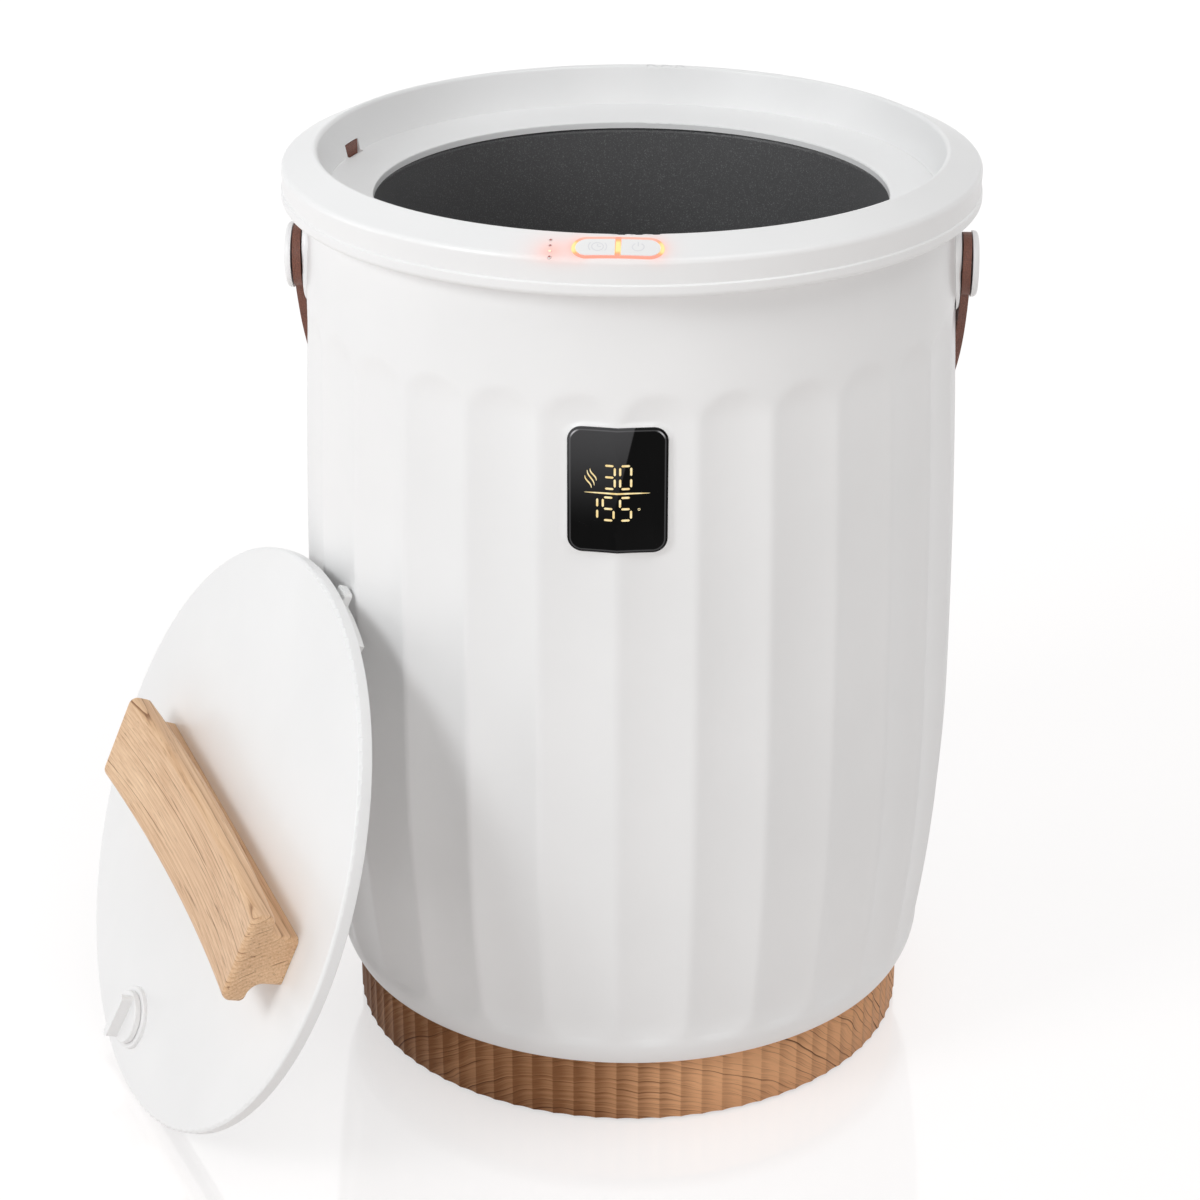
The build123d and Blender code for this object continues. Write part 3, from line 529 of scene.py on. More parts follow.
def rim_white_with_glow(name):
    """White plastic with a painted glow round the lamps, in place of the light that the plastic lets through from
    them.
    """
    material = white_plastic(name)
    tree = material.node_tree
    shader = tree.nodes["Principled BSDF"]
    x, up_slope, out = on_crown(wire(add_node(tree, "ShaderNodeTexCoord"), "Object"))
    depth = out * math.sqrt(6.0)
    # distance to the outline of the pill, from its own formula
    over = beyond(x, pill_straight)
    pill = abs(length(over, up_slope, depth) - pill_line)
    ends = smooth_step(abs(x), 10.0 * mm, 20.0 * mm) * 0.75 + 0.25
    halo = (pill * -380.0).math("EXPONENT") * ends
    spot = (length(x - dot_across, up_slope - lit_dot, depth) * -210.0).math("EXPONENT")
    painted_glow = halo * 0.34 + spot * 0.75
    # painted glow: a pink base colour and a warm emission take the place of some of the white, so the halo is pink
    # and doesn't burn out
    white = shader.inputs["Base Color"].links[0].from_socket
    fill(shader, {
        "Base Color": mixed((painted_glow * 1.6).math("MINIMUM", 1.0), white, (0.88, 0.44, 0.38, 1)),
        "Emission Color": (1.0, 0.30, 0.18, 1.0), "Emission Strength": painted_glow * 0.55,
    })
    return material


def readout_light(name):
    """Warm yellow light of the numbers, a little cloudy."""
    material, shader, place = new_material(name)
    colour = ramp(noise(place, 420.0, 2.0), [(0.35, (0.86, 0.62, 0.24)), (0.65, (1.0, 0.86, 0.50))])
    fill(shader, {
        "Emission Color": colour, "Emission Strength": 0.95, "Base Color": (0.1, 0.08, 0.04, 1), "Roughness": 0.3,
    })
    return material


def black_window(name):
    """Polished black window: nearly no colour, a sharp gloss, a faint haze of fine wiping marks, and painted
    reflections on its upper left and along its bevel.
    """
    material, shader, place = new_material(name)
    x, y, z = axes(place)
    # painted reflection: the upper left of the window is painted lighter, with a slanted edge, and fades out
    # downwards
    slant = x + (z - window_middle) * -0.23 - 0.9 * mm
    left = smooth_step(slant, 0.4 * mm, -0.4 * mm)
    painted_reflection_fade = smooth_step(z, window_middle - 18 * mm, window_middle + 32 * mm)
    haze_and_painted_reflection = left * painted_reflection_fade * 0.062 + noise(mapped(place, scale=(1, 1, 0.2)), 160.0, 4.0) * 0.002
    # painted highlight: the ground bevel's reflection is painted as a thin grey line inside the edge, bright at the
    # upper corners
    over_x = beyond(x, 15.7 * mm)
    over_z = beyond(z - window_middle, 22.5 * mm)
    inside = 6.6 * mm - length(over_x, over_z)
    bevel_highlight = smooth_step(abs(inside - 1.25 * mm), 0.5 * mm, 0.1 * mm)
    corner = smooth_step(over_x, 1.0 * mm, 4.0 * mm) * smooth_step(over_z, 1.0 * mm, 4.0 * mm)
    upper = smooth_step(z, window_middle, window_middle + 20 * mm)
    haze_and_painted_reflection = haze_and_painted_reflection + bevel_highlight * (0.06 + corner * upper * 0.5)
    tone = {"Red": haze_and_painted_reflection, "Green": haze_and_painted_reflection, "Blue": haze_and_painted_reflection * 1.04}
    fill(shader, {
        "Base Color": wire(add_node(place.tree, "ShaderNodeCombineColor", tone)),
        "Roughness": noise(place, 300.0, 2.0) * 0.03 + 0.05, "Specular IOR Level": 0.06,
    })
    return material


digit_light = readout_light("digit_light")
material_for["lit_plastic"] = lit_outline("outline_light")
material_for["black_window"] = black_window("window_black")
own_material = {
    "top_rim": rim_white_with_glow("rim_white"), "indicator_lights": lit_dots("dot_light"), "lid_liner": liner_white,
}
print("finishes for", len(material_for), "slots and", len(own_material), "single pieces")

# %% [markdown]
# ## Dressing the solid pieces
#
# A solid model arrives as loose triangles, so a curved face shows its facets.
# A copy of it has its corner points joined, and is shaded smooth except over real corners.
# The copy then stands for the solid, whose own mesh stays as it is.


# %% Dress the solids
def smooth_over(work, corner):
    """Smooth shading for a mesh at work; edges that turn by more than corner degrees stay sharp."""
    for face in work.faces:
        face.smooth = True
    for edge in work.edges:
        if len(edge.link_faces) == 2:
            edge.smooth = edge.calc_face_angle(0.0) < math.radians(corner)


def start_work(mesh):
    """Opens a mesh for work."""
    work = bmesh.new()
    work.from_mesh(mesh)
    return work


def end_work(work, mesh):
    """Puts the work on a mesh and drops the normals that it stored before."""
    work.to_mesh(mesh)
    work.free()
    if "custom_normal" in mesh.attributes:
        mesh.attributes.remove(mesh.attributes["custom_normal"])


def smooth_copy(node, name, corner=26.0):
    """A joined, smooth-shaded copy of a solid."""
    mesh = nodes[node].data.copy()
    work = start_work(mesh)
    bmesh.ops.remove_doubles(work, verts=work.verts, dist=0.004 * mm)
    slivers = [face for face in work.faces if face.calc_area() < 1e-13]
    bmesh.ops.delete(work, geom=slivers, context="FACES_ONLY")
    smooth_over(work, corner)
    end_work(work, mesh)
    mesh.name = name
    piece = new_object(name, mesh)
    # large faces keep their own direction, and the small faces of a rounding take up the turn
    weighted = piece.modifiers.new("weighted", "WEIGHTED_NORMAL")
    weighted.weight = 50
    weighted.keep_sharp = True
    piece.data = bpy.data.meshes.new_from_object(piece.evaluated_get(bpy.context.evaluated_depsgraph_get()))
    piece.data.name = name
    piece.modifiers.remove(weighted)
    return piece


def profile_points(corners, steps=30):
    """Spots on a profile and their outward directions, from (radius, height, rounding) corners in mm."""
    spots, aims = [], []
    places = [Vector((radius * mm, height * mm)) for radius, height, rounding in corners]
    for index in range(1, len(corners) - 1):
        before, corner, after = places[index - 1 : index + 2]
        rounding = corners[index][2] * mm
        into, out_of = (corner - before).normalized(), (after - corner).normalized()
        turn = math.atan2(into.x * out_of.y - into.y * out_of.x, into.dot(out_of))
        hollow = math.copysign(rounding, turn)
        start = corner - into * (rounding * math.tan(abs(turn) / 2))
        centre = start - Vector((into.y, -into.x)) * hollow
        first = math.atan2(-into.x, into.y)
        for step in range(steps + 1):
            angle = first + turn * step / steps
            aim = Vector((math.cos(angle), math.sin(angle)))
            spots.append(tuple(centre + aim * hollow))
            aims.append(tuple(aim))
    return np.array(spots), np.array(aims)


def finer_turning(piece, spots, aims, fine=0.02 * mm, reach=0.6 * mm, shortest=0.3 * mm, passes=4):
    """Cuts facets that span a rounding of the profile, and lays the new corners on the true profile."""

    def gap_at(place):
        radius = math.hypot(place.x, place.y)
        offset = spots - (radius, place.z)
        nearest = int(np.argmin((offset * offset).sum(axis=1)))
        return radius, aims[nearest], float(offset[nearest] @ aims[nearest])

    work = start_work(piece.data)
    for cut in range(passes):
        middles = [(edge, gap_at((edge.verts[0].co + edge.verts[1].co) / 2)[2]) for edge in work.edges]
        coarse = [edge for edge, gap in middles if fine < abs(gap) < reach and edge.calc_length() > shortest]
        made = bmesh.ops.subdivide_edges(work, edges=coarse, cuts=1)
        for vert in [item for item in made["geom_inner"] if isinstance(item, bmesh.types.BMVert)]:
            radius, aim, gap = gap_at(vert.co)
            vert.co.xy *= (radius + aim[0] * gap) / radius
            vert.co.z += aim[1] * gap
        bmesh.ops.triangulate(work, faces=[face for face in work.faces if len(face.verts) > 3])
    end_work(work, piece.data)
    print("finer turning:", piece.name, len(piece.data.polygons), "faces")


def turned_normals(piece, spots, aims, reach=0.1 * mm):
    """Turned faces point where the profile points, so the facets of the solid don't show."""
    mesh = piece.data
    normals = [Vector(corner.vector) for corner in mesh.corner_normals]
    for face in mesh.polygons:
        for loop in face.loop_indices:
            x, y, z = mesh.vertices[mesh.loops[loop].vertex_index].co
            radius = math.hypot(x, y)
            offset = spots - (radius, z)
            # a sharp corner holds many directions, so the face picks the one nearest to its own
            far = (offset * offset).sum(axis=1)
            near = np.flatnonzero(far < far.min() + 1e-12)
            options = [Vector((aims[i][0] * x / radius, aims[i][0] * y / radius, aims[i][1])) for i in near]
            best = max(options, key=face.normal.dot)
            off_profile = abs(float(offset[near[0]] @ aims[near[options.index(best)]]))
            if off_profile < reach and best.dot(face.normal) > 0.9:
                normals[loop] = best
    mesh.normals_split_custom_set(normals)


def finish_piece(piece, node, material, *others):
    """Gives a finished piece its material and its body, and hides the solids that it stands for."""
    piece.data.materials.clear()
    piece.data.materials.append(material)
    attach(piece, body_of_node[node])
    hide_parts(node, *others)


hidden_inside = {
    "heating_film", "insulation_jacket", "pot_cradle", "thermostat", "thermal_fuse", "power_board",
    "board_components", "button_board", "button_switches", "display_module", "display_tray", "lid_insulation",
}
turned_later = {"outer_shell", "base_ring"}
rim_spots, rim_aims = profile_points([
    (153.0, 431.0, 0), (165.7, 431.0, 2.6), (165.7, 436.5, 0.4), (164.9, 437.1, 0.3), (165.5, 448.0, 3.0),
    (148.4, 455.7, 2.0), (144.0, 435.6, 0), (144.0, 434.4, 0),
])
for node in sorted(nodes):
    material = own_material.get(node, material_for[slot_of[node]])
    if node in hidden_inside:
        nodes[node].data.materials.clear()
        nodes[node].data.materials.append(material)
    elif node not in turned_later:
        piece = smooth_copy(node, node + "_finish")
        if node == "top_rim":
            finer_turning(piece, rim_spots, rim_aims)
            turned_normals(piece, rim_spots, rim_aims)
        finish_piece(piece, node, material)
print("dressed", len(nodes) - len(hidden_inside) - len(turned_later), "solids")

# %% [markdown]
# ## One tree that turns and flutes
#
# The shell and the plinth follow the same rule.
# Each is turned on a lathe, and then a round cutter passes down its side again and again.
# The tree wraps a grid round the axis, reading each row's radius and height from a profile.
# A circle of the cutter's radius, seen from the axis, then gives the depth at every angle.
# A soft minimum joins the two surfaces, which rounds the sharp ridges as moulding does.


# %% Flute tree
def new_tree(name, inputs):
    """A Geometry Nodes tree and a reader of its inputs, each given by a number or, if empty, by its kind."""
    tree = bpy.data.node_groups.new(name, "GeometryNodeTree")
    for label, value in inputs.items():
        kind = value if isinstance(value, str) else {int: "Int", float: "Float"}[type(value)]
        socket = tree.interface.new_socket(name=label, in_out="INPUT", socket_type="NodeSocket" + kind)
        if kind != value:
            socket.default_value = value
    tree.interface.new_socket(name="Geometry", in_out="OUTPUT", socket_type="NodeSocketGeometry")
    given = tree.nodes.new("NodeGroupInput")
    return tree, lambda label: wire(given, label)


def move_to(mesh, x, y, z):
    """Gives every point of a mesh new coordinates."""
    place = wire(add_node(mesh.tree, "ShaderNodeCombineXYZ", {"X": x, "Y": y, "Z": z}))
    return wire(add_node(mesh.tree, "GeometryNodeSetPosition", {"Geometry": mesh, "Position": place}))


def end_tree(mesh, material):
    """Gives the mesh its material and sends it out of the tree."""
    dressed = add_node(mesh.tree, "GeometryNodeSetMaterial", {"Geometry": mesh, "Material": material})
    add_node(mesh.tree, "NodeGroupOutput", {0: wire(dressed)})


def make_flute_tree():
    tree, read = new_tree("turn_and_flute", {
        "Profile": "Geometry", "Flutes": 28, "Columns per flute": 16, "Flute depth": 0.003, "Flute ease": 0.00045,
        "Cutter radius": 0.083, "Belly height": 0.18, "Flute top": 0.384, "Flute bottom": 0.048,
        "End length": 0.015, "Ridge rounding": 0.0008, "Pad width": 0.0, "Pad length": 0.0, "Pad height": 0.34,
        "Pad reach": 0.496, "Pad dip": 0.0015, "Material": "Material",
    })
    rows = wire(add_node(tree, "GeometryNodeAttributeDomainSize", {"Geometry": read("Profile")}), "Point Count")
    columns = read("Flutes") * read("Columns per flute")
    grid = wire(add_node(tree, "GeometryNodeMeshGrid", {"Vertices X": columns + 1.0, "Vertices Y": rows}), "Mesh")

    index = wire(add_node(tree, "GeometryNodeInputIndex"))
    column = ((index + 0.5) / rows).math("FLOOR")
    position = wire(add_node(tree, "GeometryNodeInputPosition"))
    inputs = {"Geometry": read("Profile"), "Value": position, "Index": index - column * rows}
    profile_point = add_node(tree, "GeometryNodeSampleIndex", inputs, data_type="FLOAT_VECTOR")
    radius, outside, height = axes(wire(profile_point, "Value"))

    # angle of the column, and how far it is from the middle of its own flute
    turn = column / columns * (2 * math.pi)
    lane = column / read("Columns per flute")
    off = ((lane.math("FRACT") - 0.5) / read("Flutes")) * (2 * math.pi)

    # depth of the flute at this height, easing off from the belly and running out at both ends
    deepest, ease, end = read("Flute depth"), read("Flute ease"), read("End length")
    top, bottom, belly = read("Flute top"), read("Flute bottom"), read("Belly height")
    away = height - belly
    share = (away / (top - end - belly)).math("MAXIMUM", away / (bottom + end - belly))
    past_top = (height - top + end).math("MAXIMUM", 0.0)
    past_bottom = (bottom + end - height).math("MAXIMUM", 0.0)
    past = past_top.math("MAXIMUM", past_bottom) / end
    depth = deepest - ease * share * share - (deepest - ease) * past * past

    # the cutter's circle, seen from the axis
    circle = read("Cutter radius")
    axis_reach = radius - depth + circle
    across = axis_reach * off.math("SINE")
    inside = (circle * circle - across * across).math("MAXIMUM", 1e-8)
    floor = axis_reach * off.math("COSINE") - inside.math("SQRT")

    # soft minimum of the blank and the floor
    rounding = read("Ridge rounding")
    blend = (rounding - abs(radius - floor)).math("MAXIMUM", 0.0) / rounding
    pressed = radius.math("MINIMUM", floor) - blend * blend * rounding * 0.25

    # raised pad under the window, pressed in by a far wider cutter than the flutes
    pad_reach = read("Pad reach")
    pad_cutter = pad_reach - radius - pad_proud + read("Pad dip")
    pad_across = pad_reach * off.math("SINE")
    pad_floor = pad_reach * off.math("COSINE") - (pad_cutter * pad_cutter - pad_across * pad_across).math("SQRT")
    pad_face = (radius + pad_proud).math("MINIMUM", pad_floor) - 0.05 * mm
    sideways, forward = turn.math("SINE"), turn.math("COSINE")
    in_front = smooth_step(forward, 0.5, 0.6)
    corner, slope = 8.2 * mm, 1.4 * mm
    gap_x = beyond(radius * sideways, read("Pad width") * 0.5 - corner)
    gap_z = beyond(height - read("Pad height"), read("Pad length") * 0.5 - corner)
    on_pad = smooth_step(length(gap_x, gap_z) - corner, slope, 0.0)
    pad = on_pad * in_front * smooth_step(read("Pad width"), 1 * mm, 2 * mm)
    padded = pressed + pad * (pad_face - pressed)

    outer = radius + outside * (padded - radius)
    turned = move_to(grid, outer * sideways, outer * forward * -1.0, height)
    joined = add_node(tree, "GeometryNodeMergeByDistance", {"Geometry": turned, "Distance": 0.01 * mm})
    end_tree(wire(joined), read("Material"))
    return tree


flute_tree = make_flute_tree()
print("flute tree has", len(flute_tree.nodes), "nodes")

# %% [markdown]
# ## From a tree to a plain mesh
#
# A plain mesh can be exported and measured, so each tree runs once and its source is taken away.


# %% Run a tree and keep a plain mesh
def run_tree(tree, source, name, values):
    """Runs a tree on a source object and returns the result as a plain mesh object."""
    modifier = source.modifiers.new("tree", "NODES")
    modifier.node_group = tree
    sockets = {item.name: item.identifier for item in tree.interface.items_tree if item.in_out == "INPUT"}
    for key, value in values.items():
        modifier[sockets[key]] = value
    bpy.context.view_layer.update()
    graph = bpy.context.evaluated_depsgraph_get()
    mesh = bpy.data.meshes.new_from_object(source.evaluated_get(graph), depsgraph=graph)
    source.modifiers.remove(modifier)
    mesh.name = name
    bpy.data.objects.remove(source)
    return new_object(name, mesh)


def turned_piece(name, node, profile, material, corner, values):
    """Turns and flutes a profile into a piece that stands for a solid.

    In the profile x is the radius, y says if the cutter reaches the point, and z is the height.
    """
    mesh = bpy.data.meshes.new(name + "_profile")
    mesh.from_pydata(profile, [(i, i + 1) for i in range(len(profile) - 1)], [])
    piece = run_tree(flute_tree, new_object(name + "_profile", mesh), name, {"Material": material, **values})
    work = start_work(piece.data)
    smooth_over(work, corner)
    end_work(work, piece.data)
    finish_piece(piece, node, material)
    print(name + ":", len(profile), "rows,", len(piece.data.polygons), "faces")


def spread(low, high, count):
    """Evenly spread numbers from low to high, in count steps."""
    return [low + (high - low) * i / count for i in range(count + 1)]


print("tree runner ready")

# %% [markdown]
# ## The fluted shell
#
# The shell's profile is a loop: up the outside, over the top edge, down the inside and back under the lip.
# Rows sit close together where the flutes end, because that is where the surface turns quickly.
# The cutter reaches only the rows of the outside, which the middle number of each point says.

# %% Shell
shell_profile = [(128 * mm, 0, shell_bottom), (shell_bottom_radius - 1.2 * mm, 0, shell_bottom)]
swell, rise = barrel(shell_turn_height) - shell_bottom_radius, shell_turn_height - shell_bottom
for i in range(8):
    radius = shell_bottom_radius + swell * math.sin(i * math.pi / 16) ** 1.15
    shell_profile.append((radius, 0, shell_bottom + rise * (i / 8) ** 1.25))
heights = [shell_turn_height]
for top, rows in ((66 * mm, 18), (300 * mm, 42), (366 * mm, 34), (388 * mm, 28), (shell_top, 10)):
    heights += spread(heights[-1], top, rows)[1:]
shell_profile += [(barrel(height), 1, height) for height in heights]
shell_profile += [(barrel(height) - shell_wall, 0, height) for height in spread(shell_top, 60 * mm, 12)]
shell_profile += [(142 * mm, 0, 40 * mm), (128 * mm, 0, 40 * mm), (128 * mm, 0, shell_bottom)]
shell_values = {
    "Flutes": flute_count, "Columns per flute": 16, "Flute depth": 3.0 * mm, "Cutter radius": 83.0 * mm,
    "Flute top": 384.0 * mm, "Flute bottom": 48.0 * mm, "Pad width": 45.4 * mm, "Pad length": 59.0 * mm,
    "Pad reach": window_reach, "Pad dip": window_dip,
}
turned_piece("fluted_shell", "outer_shell", shell_profile, shell_white, 50.0, shell_values)

# %% [markdown]
# ## The scalloped plinth
#
# The same tree makes the plinth, with many small scallops in place of wide flutes.
# Its scallops run the whole height, so both ends are set far outside the piece.

# %% Plinth
plinth_profile = [(radius * mm, cut, height * mm) for radius, cut, height in (
    (136.0, 0, 1.5), (141.0, 1, 1.5), (141.3, 1, 1.9), (141.3, 1, 17.0), (141.3, 1, 33.5), (141.0, 1, 34.0),
    (134.0, 0, 34.0), (134.0, 0, 37.0), (127.6, 0, 37.0), (127.6, 0, 44.0), (124.0, 0, 44.0), (124.0, 0, 31.0),
    (136.0, 0, 31.0), (136.0, 0, 1.5),
)]
plinth_values = {
    "Flutes": scallop_count, "Columns per flute": 8, "Flute depth": 0.8 * mm, "Flute ease": 0.0,
    "Cutter radius": 20.3 * mm, "Belly height": 17.0 * mm, "Flute top": 0.5, "Flute bottom": -0.5,
    "End length": 1.0 * mm, "Ridge rounding": 0.2 * mm,
}
turned_piece("scalloped_plinth", "base_ring", plinth_profile, plinth_wood, 40.0, plinth_values)

# %% [markdown]
# ## The readout
#
# A seven-segment digit is the same small bar used seven times, as instances.
# Each point of a small mesh carries how far its bar is turned.
# The tree puts a bar on each point, makes the bars real and bends them onto the curved window.

# %% Segment tree
def make_segment_tree():
    tree, read = new_tree("segments_on_window", {
        "Points": "Geometry", "Bar": "Object", "Hollow radius": 0.337, "Hollow across": 0.055, "Hollow away": 0.493,
        "Lean": 0.04, "Middle": 0.34, "Material": "Material",
    })
    bar = wire(add_node(tree, "GeometryNodeObjectInfo", {"Object": read("Bar")}), "Geometry")
    turn = wire(add_node(tree, "GeometryNodeInputNamedAttribute", {"Name": "turn"}, data_type="FLOAT"), "Attribute")
    rotation = wire(add_node(tree, "ShaderNodeCombineXYZ", {"Y": turn}))
    inputs = {"Points": read("Points"), "Instance": bar, "Rotation": rotation}
    placed = wire(add_node(tree, "GeometryNodeInstanceOnPoints", inputs))
    real = wire(add_node(tree, "GeometryNodeRealizeInstances", {0: placed}))
    x, y, z = axes(wire(add_node(tree, "GeometryNodeInputPosition")))
    radius = read("Hollow radius") + (z - read("Middle")) * read("Lean")
    off = abs(x) - read("Hollow across")
    depth = (radius * radius - off * off).math("SQRT") - read("Hollow away")
    end_tree(move_to(real, x, y + depth, z), read("Material"))
    return tree


segment_tree = make_segment_tree()
print("segment tree has", len(segment_tree.nodes), "nodes")

# %% [markdown]
# ## The digits
#
# A point goes to the middle of every bar that is lit, and upright bars get a quarter turn.
# The bars are as thin as a hair, because the light of a real readout has no thickness.


# %% Bars and digits
def flat_bar(name, outline, thick=0.06 * mm):
    """A thin plate in the XZ plane with the given outline; its face looks along -Y."""
    work = bmesh.new()
    front = [work.verts.new((x, -thick, z)) for x, z in outline]
    back = [work.verts.new((x, 0, z)) for x, z in outline]
    # rungs from one long side to the other, so that a long bar can bend over the window
    for i in range(len(outline) // 2 - 1):
        rung = (i, i + 1, len(outline) - 2 - i, len(outline) - 1 - i)
        work.faces.new([front[corner] for corner in rung])
        work.faces.new([back[corner] for corner in rung[::-1]])
    for i in range(len(outline)):
        j = (i + 1) % len(outline)
        work.faces.new((front[j], front[i], back[i], back[j]))
    bmesh.ops.recalc_face_normals(work, faces=work.faces)
    mesh = bpy.data.meshes.new(name)
    end_work(work, mesh)
    return new_object(name, mesh)


digit_width, digit_height, stroke = 5.2 * mm, 10.6 * mm, 0.95 * mm
half_bar, half_stroke = 3.9 * mm / 2, stroke / 2
shoulder = half_bar - half_stroke
bar_outline = [
    (-half_bar, 0), (-shoulder, -half_stroke), (shoulder, -half_stroke),
    (half_bar, 0), (shoulder, half_stroke), (-shoulder, half_stroke),
]
segments = {
    "a": (0, 1, 0), "b": (1, 0.5, 1), "c": (1, -0.5, 1), "d": (0, -1, 0), "e": (-1, -0.5, 1), "f": (-1, 0.5, 1),
    "g": (0, 0, 0),
}
lit = {"0": "abcdef", "1": "bc", "3": "abcdg", "5": "acdfg"}


def digit_points(digit, centre_x, centre_z):
    """Place and turn of each bar of a digit."""
    points = []
    for letter in lit[digit]:
        across, above, upright = segments[letter]
        place = (centre_x + across * (digit_width / 2 - half_stroke * 0.4), 0, centre_z + above * (digit_height / 2))
        points.append((place, math.pi / 2 if upright else 0.0))
    return points


upper_row, lower_row = 346.6 * mm, 331.9 * mm
readout = []
for digit, centre_x, centre_z in (
    ("3", -3.55, upper_row), ("0", 3.65, upper_row),
    ("1", -11.3, lower_row), ("5", -4.0, lower_row), ("5", 3.65, lower_row),
):
    readout += digit_points(digit, centre_x * mm, centre_z)
points_mesh = bpy.data.meshes.new("readout_points")
points_mesh.from_pydata([place for place, turn in readout], [], [])
turns = points_mesh.attributes.new("turn", "FLOAT", "POINT")
turns.data.foreach_set("value", [turn for place, turn in readout])
points = new_object("readout_points", points_mesh)
bar = flat_bar("bar", bar_outline)
# the readout sits 0.04 mm proud of the window's face
half_flute = math.pi / flute_count
hollow = {
    "Hollow radius": window_reach - barrel(window_middle) - lens_proud + window_dip - 0.04 * mm,
    "Hollow across": window_reach * math.sin(half_flute),
    "Hollow away": window_reach * math.cos(half_flute),
    "Lean": (barrel(325 * mm) - barrel(355 * mm)) / (30 * mm),
    "Middle": window_middle,
}
digits = run_tree(segment_tree, points, "readout_digits", {"Bar": bar, "Material": digit_light, **hollow})
bpy.data.objects.remove(bar)
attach(digits, "bucket")
print("readout bars:", len(readout))

# %% [markdown]
# ## The drawn lines of the readout
#
# The divider, the heat mark and the degree ring are drawn flat as lines, and then bent onto the window.


# %% Divider, heat mark and degree ring
def on_window(piece):
    """Bends a flat piece onto the window."""
    for vertex in piece.data.vertices:
        radius = hollow["Hollow radius"] + (vertex.co.z - hollow["Middle"]) * hollow["Lean"]
        off = abs(vertex.co.x) - hollow["Hollow across"]
        vertex.co.y += math.sqrt(radius**2 - off**2) - hollow["Hollow away"]
    piece.data.materials.append(digit_light)
    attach(piece, "bucket")


def stroke_outline(line, width, taper=0.92):
    """Outline of a line that thins towards both ends; a taper of 0 keeps its width."""
    left, right = [], []
    for i, point in enumerate(line):
        before, after = line[max(i - 1, 0)], line[min(i + 1, len(line) - 1)]
        step = Vector((after[0] - before[0], after[1] - before[1])).normalized()
        half = width / 2 * (math.sin(math.pi * i / (len(line) - 1)) ** 0.6 * taper + 1 - taper)
        left.append((point[0] - step.y * half, point[1] + step.x * half))
        right.append((point[0] + step.y * half, point[1] - step.x * half))
    return left + right[::-1]


divider_line = [((-14.7 + 29.1 * i / 24) * mm, 339.1 * mm) for i in range(25)]
on_window(flat_bar("readout_divider", stroke_outline(divider_line, 0.8 * mm)))
heat_lines = [((-14.4, 346.9), (-11.5, 341.1)), ((-13.4, 349.5), (-10.2, 342.3)), ((-12.1, 350.2), (-9.3, 344.6))]
for number, (high, low) in enumerate(heat_lines, 1):
    wave = []
    for share in spread(0.0, 1.0, 16):
        across = high[0] + (low[0] - high[0]) * share - 0.42 * math.sin(2 * math.pi * share)
        wave.append((across * mm, (high[1] + (low[1] - high[1]) * share) * mm))
    on_window(flat_bar("heat_mark_" + str(number), stroke_outline(wave, 0.62 * mm)))


def arc_line(centre, radius, start, end, steps=14):
    """Points along an arc, with angles in degrees from the right."""
    angles = [math.radians(angle) for angle in spread(start, end, steps)]
    return [(centre[0] + radius * math.cos(angle), centre[1] + radius * math.sin(angle)) for angle in angles]


for number, start in enumerate((2, 182), 1):
    ring_arc = arc_line((9.6 * mm, 331.6 * mm), 0.46 * mm, start, start + 176)
    on_window(flat_bar("degree_ring_" + str(number), stroke_outline(ring_arc, 0.22 * mm, 0.0)))
print("divider, heat mark and degree ring made")

# %% [markdown]
# ## The marks on the two buttons
#
# A printed mark has next to no thickness, so each is very thin plates on the cone of the button's face.
# They move with their button: a clock on the left one, and the usual power sign on the right one.


# %% Button marks
def on_button(piece, body):
    """Lays a flat mark on the sloping face of a button; its Z runs up the slope."""
    for vertex in piece.data.vertices:
        x, out, up_slope = vertex.co.x, 0.37 * mm - vertex.co.y, vertex.co.z
        radius = -button_front - up_slope * math.cos(crown_slope) + out * math.sin(crown_slope)
        vertex.co.y = -math.sqrt(radius**2 - x**2)
        vertex.co.z = button_height + up_slope * math.sin(crown_slope) + out * math.cos(crown_slope)
    piece.data.materials.append(mark_grey)
    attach(piece, body)


clock, power = (-8.7 * mm, 0.0), (8.6 * mm, 0.0)
marks = {
    "timer_key": {
        "clock_face_1": arc_line(clock, 2.5 * mm, 2, 178),
        "clock_face_2": arc_line(clock, 2.5 * mm, 182, 358),
        "clock_hand_1": [clock, (clock[0], 1.6 * mm)],
        "clock_hand_2": [(clock[0] + 0.3 * mm, 0), (clock[0] + 1.5 * mm, 0)],
        "clock_side_1": arc_line(clock, 3.9 * mm, -38, 38),
        "clock_side_2": arc_line(clock, 3.9 * mm, 142, 218),
    },
    "power_key": {
        "power_arc": arc_line(power, 2.5 * mm, 122, 418),
        "power_line": [(power[0], 0.5 * mm), (power[0], 3.0 * mm)],
    },
}
for body, lines in marks.items():
    for name, line in lines.items():
        on_button(flat_bar(name, stroke_outline(line, 0.5 * mm, 0.0), 0.03 * mm), body)
print("button marks made")

# %% [markdown]
# ## The stage
#
# A pale, glossy floor lets the object stand on its own reflection.
# A part of what the camera sees of it is its own light, and its base is darker there to make up for that.
# So it is white up to its far end and still keeps the shadow.


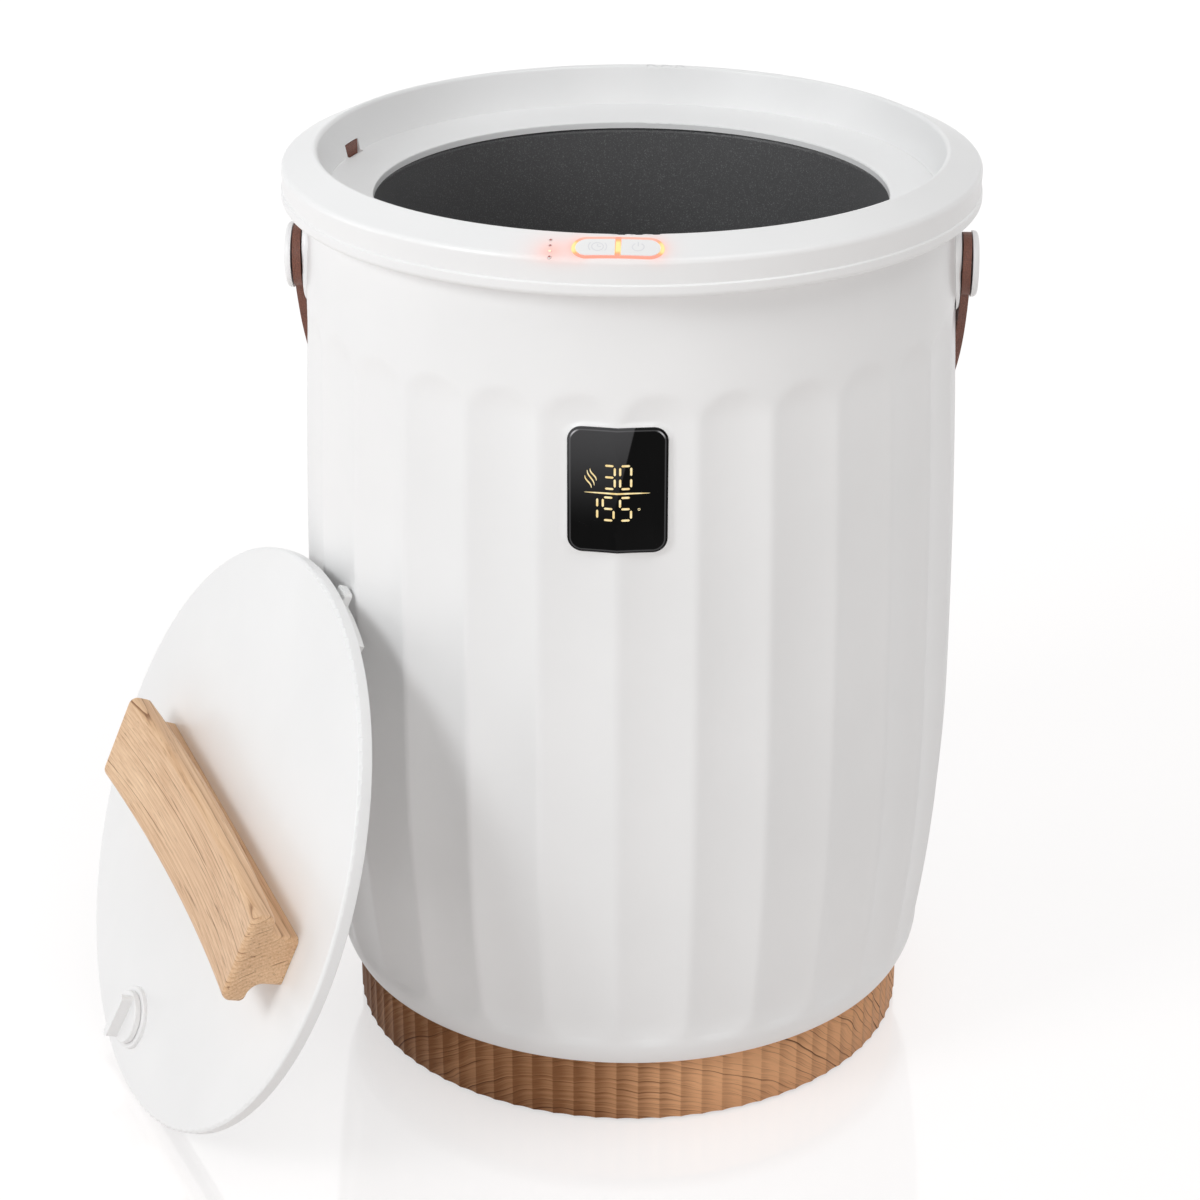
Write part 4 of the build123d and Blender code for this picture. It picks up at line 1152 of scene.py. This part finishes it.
# %% Floor
def seen(tree):
    """1 for a ray from the camera, also by way of gloss or glass, and 0 for light on its way elsewhere."""
    paths = add_node(tree, "ShaderNodeLightPath")
    camera_ray, *others = [wire(paths, "Is " + kind + " Ray") for kind in ("Camera", "Glossy", "Transmission")]
    return camera_ray.math("MAXIMUM", others[0]).math("MAXIMUM", others[1])


floor_mesh = bpy.data.meshes.new("floor")
floor_mesh.from_pydata([(-6, -3, 0), (6, -3, 0), (6, 9, 0), (-6, 9, 0)], [], [(0, 1, 2, 3)])
floor = new_object("floor", floor_mesh)
floor_material = bpy.data.materials.new("pale_floor")
floor_material.use_nodes = True
floor_seen = seen(floor_material.node_tree)
fill(floor_material.node_tree.nodes["Principled BSDF"], {
    "Base Color": mixed(floor_seen, (0.80, 0.76, 0.745, 1), (0.43, 0.41, 0.405, 1)),
    "Roughness": 0.06, "Specular IOR Level": 1.0,
    "Emission Color": (1, 1, 1, 1), "Emission Strength": floor_seen * 0.60,
})
floor_mesh.materials.append(floor_material)
print("floor made")

# %% [markdown]
# ## Light
#
# Four large soft lamps stand left of the camera, far left, in front and above.
# The room looks white but gives half as much light, so the lamps still shape the flutes.

# %% World and lamps
world = bpy.data.worlds.new("studio")
bpy.context.scene.world = world
world.use_nodes = True
room_light = seen(world.node_tree) * 0.53 + 0.47
fill(world.node_tree.nodes["Background"], {"Color": (1, 1, 1, 1), "Strength": room_light})


def softbox(name, location, target, side, power, colour=(1.0, 1.0, 1.0)):
    """A square lamp of a side and a power that looks at a target."""
    lamp = bpy.data.lights.new(name, "AREA")
    lamp.color = colour
    lamp.shape = "RECTANGLE"
    lamp.size = lamp.size_y = side
    lamp.energy = power
    holder = new_object(name, lamp)
    holder.location = location
    holder.rotation_euler = (Vector(target) - Vector(location)).to_track_quat("-Z", "Y").to_euler()


softbox("key_softbox", (-1.33, -1.11, 1.25), (0, 0, 0.22), 0.65, 11, (0.96, 0.985, 1.0))
softbox("left_softbox", (-1.8, 0.05, 0.75), (0, 0, 0.25), 0.9, 4)
softbox("fill_softbox", (0.30, -1.80, 0.70), (0, 0, 0.25), 0.9, 3.4, (1.0, 0.97, 0.94))
softbox("top_softbox", (0.55, -0.60, 1.70), (0, 0, 0.35), 0.9, 5)
bpy.context.scene.view_settings.view_transform = "Standard"
print("lamps made")
